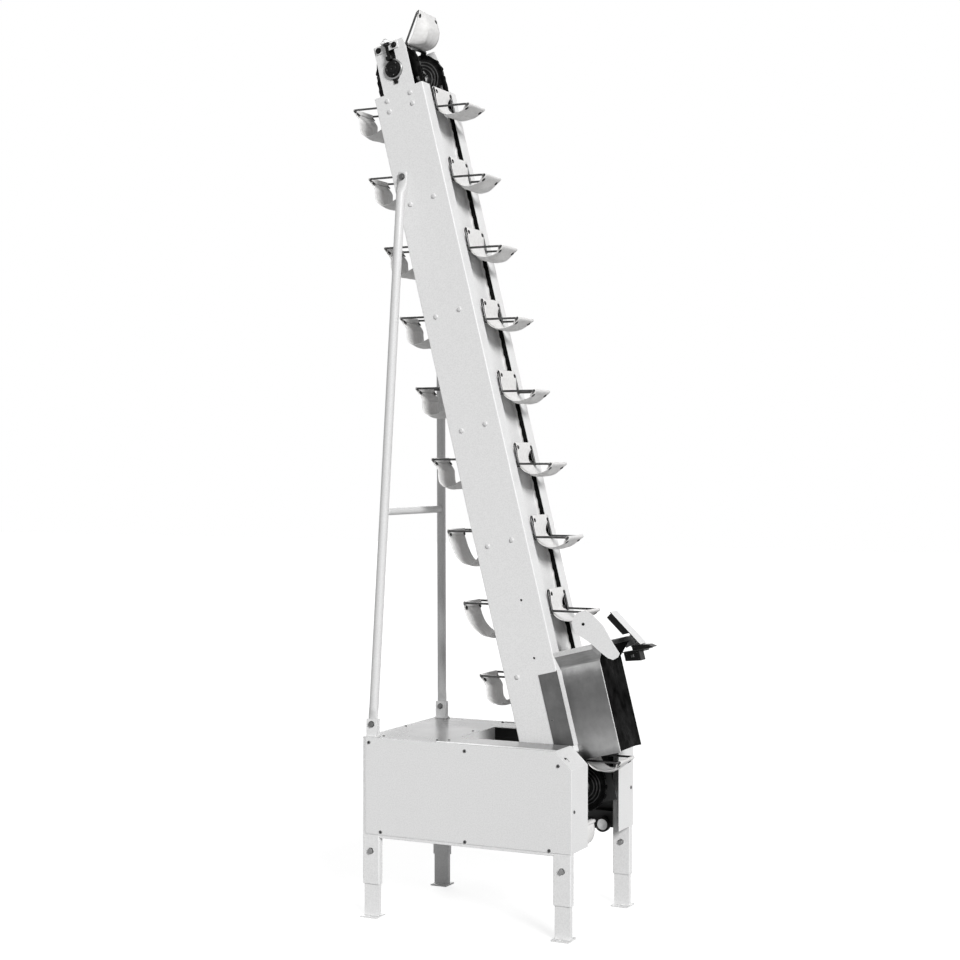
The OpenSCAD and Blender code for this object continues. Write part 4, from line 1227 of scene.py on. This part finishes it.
def panel_rule(side):
    """Painted shade where a side panel faces the cabinet's inside."""
    def rule(c, n):
        inside = n.y * side < -0.6 or n.x < -0.6 or (n.z < -0.6 and c.z > 0.3)
        return 1 if inside and abs(c.y) < HALF_W + SHEET - 0.0002 else 0
    return rule


def top_details(bm):
    """Folded flanges of the side panels on the top sheet, with a dark gap, and small screws."""
    seam, rear, front = 0.2005, -0.084, HALF_L - SLOPE - 0.002
    for side in (-1, 1):
        y0, y1 = sorted((side * seam, side * (HALF_W + SHEET - 0.0005)))
        rounded_block(bm, (rear, front, y0, y1, TOP_Z + 0.0001, TOP_Z + 0.0012), 0.0004, index=2)
        y0, y1 = sorted((side * seam, side * (seam - 0.001)))
        gap = (rear, front - 0.002, y0, y1, TOP_Z - 0.0003, TOP_Z + 0.0003)
        inked(block(bm, *gap), 1)
    spots = ((-0.262, -0.181), (-0.297, 0.009), (-0.261, 0.205), (-0.087, 0.202), (-0.080, 0.190),
             (-0.099, -0.179), (-0.070, -0.165), (-0.085, 0.009))
    stamped(bm, TOP_SCREW, [moved_by(x, y, TOP_Z) for x, y in spots])
    for face in bm.faces:
        c = face.calc_center_median()
        on_screw = min(math.hypot(c.x - x, c.y - y) for x, y in spots) < 0.004
        if c.z > TOP_Z + 0.0002 and on_screw:
            face.material_index = 3


def top_rule(c, n):
    """Painted shade below, the sheet's own finish above and the panels' on its rim."""
    if n.z < -0.5 or (n.x < -0.5 and c.z < TOP_Z - SHEET - 0.001):
        return 1
    return 0 if n.z > 0.5 else 2


def rail_rule(c, n):
    """Painted shade where a rail faces the cabinet's inside."""
    towards = -n.y if c.y > 0.19 else n.y if c.y < -0.19 else n.x if c.x < -0.28 else 0
    hidden = abs(c.y) < HALF_W - 0.001 and c.x > -HALF_L + 0.001
    return 1 if hidden and (towards > 0.5 or n.z > 0.5) else 0


def panel_screws():
    bm = bmesh.new()
    spots = ((-HALF_L + 0.020, TOP_Z - 0.014), (0.003, TOP_Z - 0.017),
             (HALF_L - 0.035, TOP_Z - 0.037), (-HALF_L + 0.056, PANEL_LOW + 0.008),
             (0.004, PANEL_LOW + 0.005), (HALF_L - 0.060, PANEL_LOW + 0.005))
    face = HALF_L + SHEET
    for side in (-1, 1):
        stamped(bm, PANEL_SCREW, [moved_by(x, side * (HALF_W + SHEET), z) @ outward(side)
                                  for x, z in spots])
        front = moved_by(face, side * (HALF_W - 0.016), TOP_Z - 0.156) @ about(math.pi / 2, "Y")
        slope = moved_by(face - 0.026, side * 0.1965, TOP_Z - 0.0205) @ about(math.pi / 4, "Y")
        stamped(bm, PANEL_SCREW, [front])
        stamped(bm, TOP_SCREW, [slope])
        rounded_block(bm, (-0.002, 0.012, -0.0004, 0.0004, -0.0002, 0.0003), 0.0001,
                      slope @ moved_by(0, -side * 0.0085, 0), index=1)
    for z in (PANEL_LOW + 0.011, TOP_Z - 0.020):
        stamped(bm, PANEL_SCREW, [moved_by(-face, y, z) @ about(-math.pi / 2, "Y")
                                  for y in (-0.15, 0, 0.15)])
    finished(bm, "panel_screw_heads", "dark_steel bearing_black", "panel_screws")


def nut_on_bolt(bm, place, edge, end):
    """A plain nut with its bolt's chamfered end standing out of it."""
    stamped(bm, HEX_NUT, [place])
    turned(bm, ((0, 0.004), (0.0058, 0.004), (0.0058, edge), (0.0050, end), (0, end)), place, 16)


def leg_bolts():
    bm = bmesh.new()
    for x in (-LEG_BOLT_X, LEG_BOLT_X):
        for side in (-1, 1):
            stamped(bm, LEG_HEX, [moved_by(x, side * HALF_W, LEG_BOLT_Z) @ outward(side)])
            inside = moved_by(x, side * (HALF_W - 0.020), LEG_BOLT_Z) @ outward(-side)
            nut_on_bolt(bm, inside, 0.0068, 0.0078)
    finished(bm, "leg_bolt_heads", "grey_steel bearing_black", "leg_bolts")


for node in ("corner_posts", "foot_near_front", "foot_near_rear", "foot_far_front",
             "foot_far_rear"):
    softened(node, "frame_paint", 0.0005, 0.01, upright_edge, 0.0022)
for side, each in ((-1, "near"), (1, "far")):
    softened(each + "_panel", "panel_paint inner_coat", 0.0005, 0.02, panel_fold,
             0.0024, rule=panel_rule(side))
# the rear panel's inward face gets painted shade
softened("rear_panel", "panel_paint inner_coat", 0.0005, 0.02,
         rule=lambda c, n: 1 if n.x > 0.6 else 0)
softened("top_sheet", "top_paint inner_coat panel_paint bearing_black", 0.0004,
         0.03, rule=top_rule, more=top_details)
for node in ("bottom_rails", "top_rails"):
    softened(node, "frame_paint inner_coat", 0.0006, 0.03, rule=rail_rule)
# the mast mounts sit inside the cabinet and are painted shade all over
softened("mast_mounts", "inner_coat", 0.0006, 0.02)
panel_screws()
leg_bolts()


# Stays

LOW_BOLT = Vector((-HALF_L + 0.025, HALF_W - 0.012, TOP_Z + 0.035))
HIGH_BOLT = MAST @ Vector((ROW_REAR - 0.001, 0, MAST_HIGH - 0.238))
HIGH_BOLT.y = MAST_HALF + 0.014


def stay(side, node):
    """A tube whose two ends are pressed flat into round-ended tabs."""
    # height above the bolt, and the half widths along X and Y there
    spade = ((-0.0140, 0.0020, 0.0040), (-0.0125, 0.0063, 0.0046), (-0.0099, 0.0099, 0.0047),
             (-0.0063, 0.0125, 0.0048), (0.0, 0.0140, 0.0048), (0.0160, 0.0142, 0.0048),
             (0.0230, 0.0142, 0.0054), (0.0300, 0.0138, 0.0078), (0.0380, 0.0131, 0.0108),
             (0.0470, TUBE_R, TUBE_R))
    square = ((-0.0140, 0.0090, 0.0042), (-0.0136, 0.0118, 0.0047),
              (-0.0120, 0.0136, 0.0048)) + spade[4:]
    rise = HIGH_BOLT.z - LOW_BOLT.z

    def on_tube_at(dz):
        return held((dz - 0.018) / 0.03)

    rings = [(LOW_BOLT.z + dz, rx, ry, on_tube_at(dz), LOW_BOLT.y) for dz, rx, ry in spade]
    rings += [(LOW_BOLT.z + rise * share, TUBE_R, TUBE_R, 1.0, 0) for share in (0.2, 0.4, 0.6, 0.8)]
    rings += [(HIGH_BOLT.z - dz, rx, ry, on_tube_at(dz), MAST_HALF + 0.0065)
              for dz, rx, ry in reversed(square)]
    bm = bmesh.new()
    ring = bmesh.ops.create_circle(bm, cap_ends=True, segments=28, radius=1)["verts"]
    edges = list(ring[0].link_faces[0].edges)
    turns = {v: math.atan2(v.co.y, v.co.x) for v in ring}
    last = None
    for z, rx, ry, on_tube, tab_y in rings:
        if last:
            edges, fresh = extruded(bm, edges)
            turns = {v: math.atan2(v.co.y - last[1], (v.co.x - last[0]) * last[3] / last[2])
                     for v in fresh}
        at = LOW_BOLT.lerp(HIGH_BOLT, held((z - LOW_BOLT.z) / rise))
        y = tab_y + (at.y - tab_y) * on_tube
        for v, turn in turns.items():
            v.co = (at.x + rx * math.cos(turn), y + ry * math.sin(turn), z)
        last = (at.x, y, rx, ry)
    bmesh.ops.edgeloop_fill(bm, edges=edges)
    moved(bm, bm.verts, Matrix.Scale(side, 4, (0, 1, 0)))
    bmesh.ops.recalc_face_normals(bm, faces=bm.faces)
    finished(bm, node + "_tube", "stay_paint_painted_shade", node)


def foot_corner(e):
    middle, way, _ = line_of(e)
    return abs(way.y) > 0.99 and middle.z > LOW_BOLT.z + 0.013


def stay_bolts():
    bm = bmesh.new()
    for side in (-1, 1):
        low_y = side * LOW_BOLT.y
        front = moved_by(LOW_BOLT.x, low_y + side * 0.009, LOW_BOLT.z) @ outward(side)
        high = moved_by(HIGH_BOLT.x, side * (MAST_HALF + 0.012), HIGH_BOLT.z) @ outward(side)
        stamped(bm, STAY_HEX, [front, high])
        back = moved_by(LOW_BOLT.x, low_y - side * 0.009, LOW_BOLT.z) @ outward(-side)
        nut_on_bolt(bm, back, 0.0062, 0.0070)
        inner = moved_by(HIGH_BOLT.x, side * (MAST_HALF - WALL), HIGH_BOLT.z) @ outward(-side)
        stamped(bm, NUT, [inner])
    finished(bm, "stay_bolt_heads", "dark_steel bearing_black", "stay_bolts")


stay(-1, "stay_near")
stay(1, "stay_far")
softened("stay_crossbar", "stay_paint_painted_shade", 0.001, 0.001)
softened("stay_feet", "frame_paint", 0.0004, 0.012, foot_corner)
stay_bolts()


# Chute, paddle, arm and sensor

def chute():
    """The CAD sheet with bent folds and a painted reflection for each wall, painted highlights on
    its folds, and bands along the mouth that are painted highlights and reflection.
    """
    def both(e, axis, value):
        return all(abs(v.co[axis] - value) < SAME for v in e.verts)

    def corner(e):
        a, b = (v.co for v in e.verts)
        return (both(e, 0, CHUTE_DEEP) and abs(abs(a.y) - CHUTE_HALF) < SAME
                and abs(a.z - b.z) > 0.05)

    def mouth_bend(e):
        a, b = (v.co for v in e.verts)
        return both(e, 2, MOUTH_LOW) and both(e, 1, -CHUTE_HALF) and abs(a.x - b.x) > 0.05

    # each wall gets its painted reflection; the front strips beside the mast get the painted
    # highlight
    def finish(c, n):
        if abs(c.y) > MAST_HALF and c.x < 0.003 and abs(n.y) > 0.9:
            return 2
        if c.x < 0.0025 and n.x > 0.9 and abs(c.y) > CHUTE_HALF - 0.002:
            return 3
        if n.y < -0.5 and c.y < 0 or n.y > 0.5 and c.y > 0:
            return 0
        return 1 if n.x > 0.5 else 4

    bm = copied("chute")
    moved(bm, bm.verts, OFF_MAST)
    bends = rounded(bm, sharp_edges(bm, limit=15, pick=mouth_bend), 0.0030, segments=3)
    folds = rounded(bm, sharp_edges(bm, pick=corner), 0.0013, segments=2)
    shaded(bm, finish)
    # the mouth's bends take the cheek's painted reflection, the corner folds a painted highlight
    for faces, index in ((bends, 0), (folds, 3)):
        for face in faces:
            if face.is_valid:
                face.material_index = index
    low, high = MOUTH_HIGH - 0.0105, MOUTH_HIGH + 0.0003
    x0, x1, y0, y1 = 0.1423, 0.150, 0.0942, 0.100
    rear = 0.0006
    # bands along the mouth's lip: painted highlights on the sides, painted reflection on the front
    bands = [((0, side * 0.0455, -0.0253), ((rear, side * y0, low), (x0, side * y0, low)),
              ((rear, side * y1, high), (x1, side * y1, high)), 3) for side in (-1, 1)]
    bands.append(((0.045, 0, -0.033), ((x0, -y0, low), (x0, y0, low)),
                  ((x1, -y1, high), (x1, y1, high)), 5))
    sunk, thick = -0.0027, 0.0039
    for out, below, above, index in bands:
        out = Vector(out).normalized()
        inked(plate_between(bm, below, above, out * sunk, out * thick), index)
    stamped(bm, TOP_SCREW, [
        moved_by(-0.0435, side * (MAST_HALF + 0.0015), 0.064) @ outward(side) for side in (-1, 1)])
    moved(bm, bm.verts, MAST)
    even(finished(bm, "chute_sheet",
                  "chute_cheek chute_front chute_flange chute_bright chute_inside chute_flange",
                  "chute", smooth_angle=25))


def paddle_hole_painted_shade(bm):
    """The black plug in the paddle's hole: painted shade for the dark seen through the hole."""
    place = at_mast(0.1065, -CHUTE_HALF - PADDLE_OUT - 0.0031, 0.293) @ outward(-1)
    inked(turned(bm, ((0, -0.0024), (0.0039, -0.0024), (0.0042, 0.0004), (0.0036, 0.0009),
                      (0, 0.0010)), place, 20), 1)


def sensor_details(bm):
    """Cover screws and a status window on the sensor bodies."""
    near = CHUTE_HALF + PADDLE_OUT - 0.0380
    spots = ((0.139, 0.1895), (0.170, 0.1885), (0.139, 0.1765), (0.170, 0.1705), (0.166, 0.2020),
             (0.198, 0.1990))
    small = outward(-1) @ Matrix.Scale(0.62, 4)
    stamped(bm, TOP_SCREW, [at_mast(u, near, s) @ small for u, s in spots])
    rounded_block(bm, (0.150, 0.159, near - 0.0012, near + 0.001, 0.178, 0.186), 0.0008, MAST,
                  index=1)


def sensor_rule(c, n):
    """The metal strip along the sensor's upper body."""
    c = OFF_MAST @ c
    middle = 0.1965 - (c.x - 0.122) * 0.0482
    return 1 if 0.1225 < c.x < 0.2045 and abs(c.z - middle) < 0.0017 and c.y < 0.0635 else 0


chute()
softened("near_paddle", "white_paint bearing_black", 0.0006, 0.002,
         more=paddle_hole_painted_shade)
softened("far_arm", "white_paint bearing_black", 0.0003, 0.02,
         rule=lambda c, n: 1 if n.y < -0.5 and c.y < 0.063 else 0)
softened("sensor", "black_plastic dark_steel", 0.0012, 0.006, rule=sensor_rule,
         more=sensor_details)


# Drive behind the far side, socket and clip

def gear_details(bm):
    """Cover with its bolts, and cooling ribs."""
    place = at_mast(DRIVE_U, 0, TAIL_S)
    rounded_block(bm, (-0.036, 0.036, 0.1765, 0.1800, -0.041, 0.041), 0.0012, place)
    stamped(bm, SMALL_HEX, [place @ moved_by(x, 0.1800, z) @ outward(1)
                            for x in (-0.031, 0.031) for z in (-0.036, 0.036)])
    for i in range(7):
        z = -0.036 + i * 0.012
        rounded_block(bm, (0.0405, 0.0450, 0.132, 0.171, z - 0.0016, z + 0.0016), 0.0007, place)


def motor():
    """A finned motor with its flange, terminal box and fan cover."""
    bm = bmesh.new()
    place = at_mast(DRIVE_U - 0.042, 0.152, TAIL_S) @ about(-math.pi / 2, "Y")
    turned(bm, ((0, 0.0), (0.038, 0.0), (0.038, 0.0085), (0.0365, 0.010), (0.0295, 0.0105),
                (0.0295, 0.094), (0.0335, 0.0965), (0.0340, 0.0990), (0.0340, 0.1240),
                (0.0325, 0.1285), (0.0280, 0.1300), (0.0120, 0.1300), (0.0110, 0.1285),
                (0, 0.1285)), place, 40)
    for fin in ring_of(place, 22, 0, 0):
        rounded_block(bm, (0.029, 0.0334, -0.0010, 0.0010, 0.014, 0.092), 0.0005, fin)
    rounded_block(bm, (-0.020, 0.020, -0.0460, -0.0280, 0.026, 0.066), 0.0022, place)
    stamped(bm, SMALL_HEX, ring_of(place, 4, 0.0330, 0.0098, math.pi / 4))
    finished(bm, "motor_finned", "cast_black dark_steel", "motor")


def round_socket():
    """A black collar with a pale face."""
    bm = bmesh.new()
    place = moved_by(HALF_L - 0.074, HALF_W - 0.034, 0.227) @ outward(-1)
    turned(bm, ((0.0158, -0.0078), (0.0200, -0.0078), (0.0210, -0.0066), (0.0210, 0.0066),
                (0.0202, 0.0078), (0.0170, 0.0080), (0.0158, 0.0070)), place, 48, closed=True)
    inked(turned(bm, ((0, -0.005), (0.0157, -0.005), (0.0157, 0.0046), (0.0148, 0.0054),
                      (0.0060, 0.0052), (0.0054, 0.0044), (0, 0.0044)), place, 40), 1)
    finished(bm, "socket_collar", "black_plastic panel_paint", "round_socket")


softened("gear_unit", "cast_black dark_steel", 0.0035, 0.03, more=gear_details)
motor()
round_socket()
softened("socket_clip", "cast_black", 0.0008, 0.004)

softened("head_plates", "white_paint", 0.0006, 0.012)
softened("take_up_brackets", "white_paint", 0.0005, 0.006)
softened("mast_webs", "white_paint", 0.0004, 0.05)
softened("chain_guides", "guide_plastic", 0.0008, 0.05)
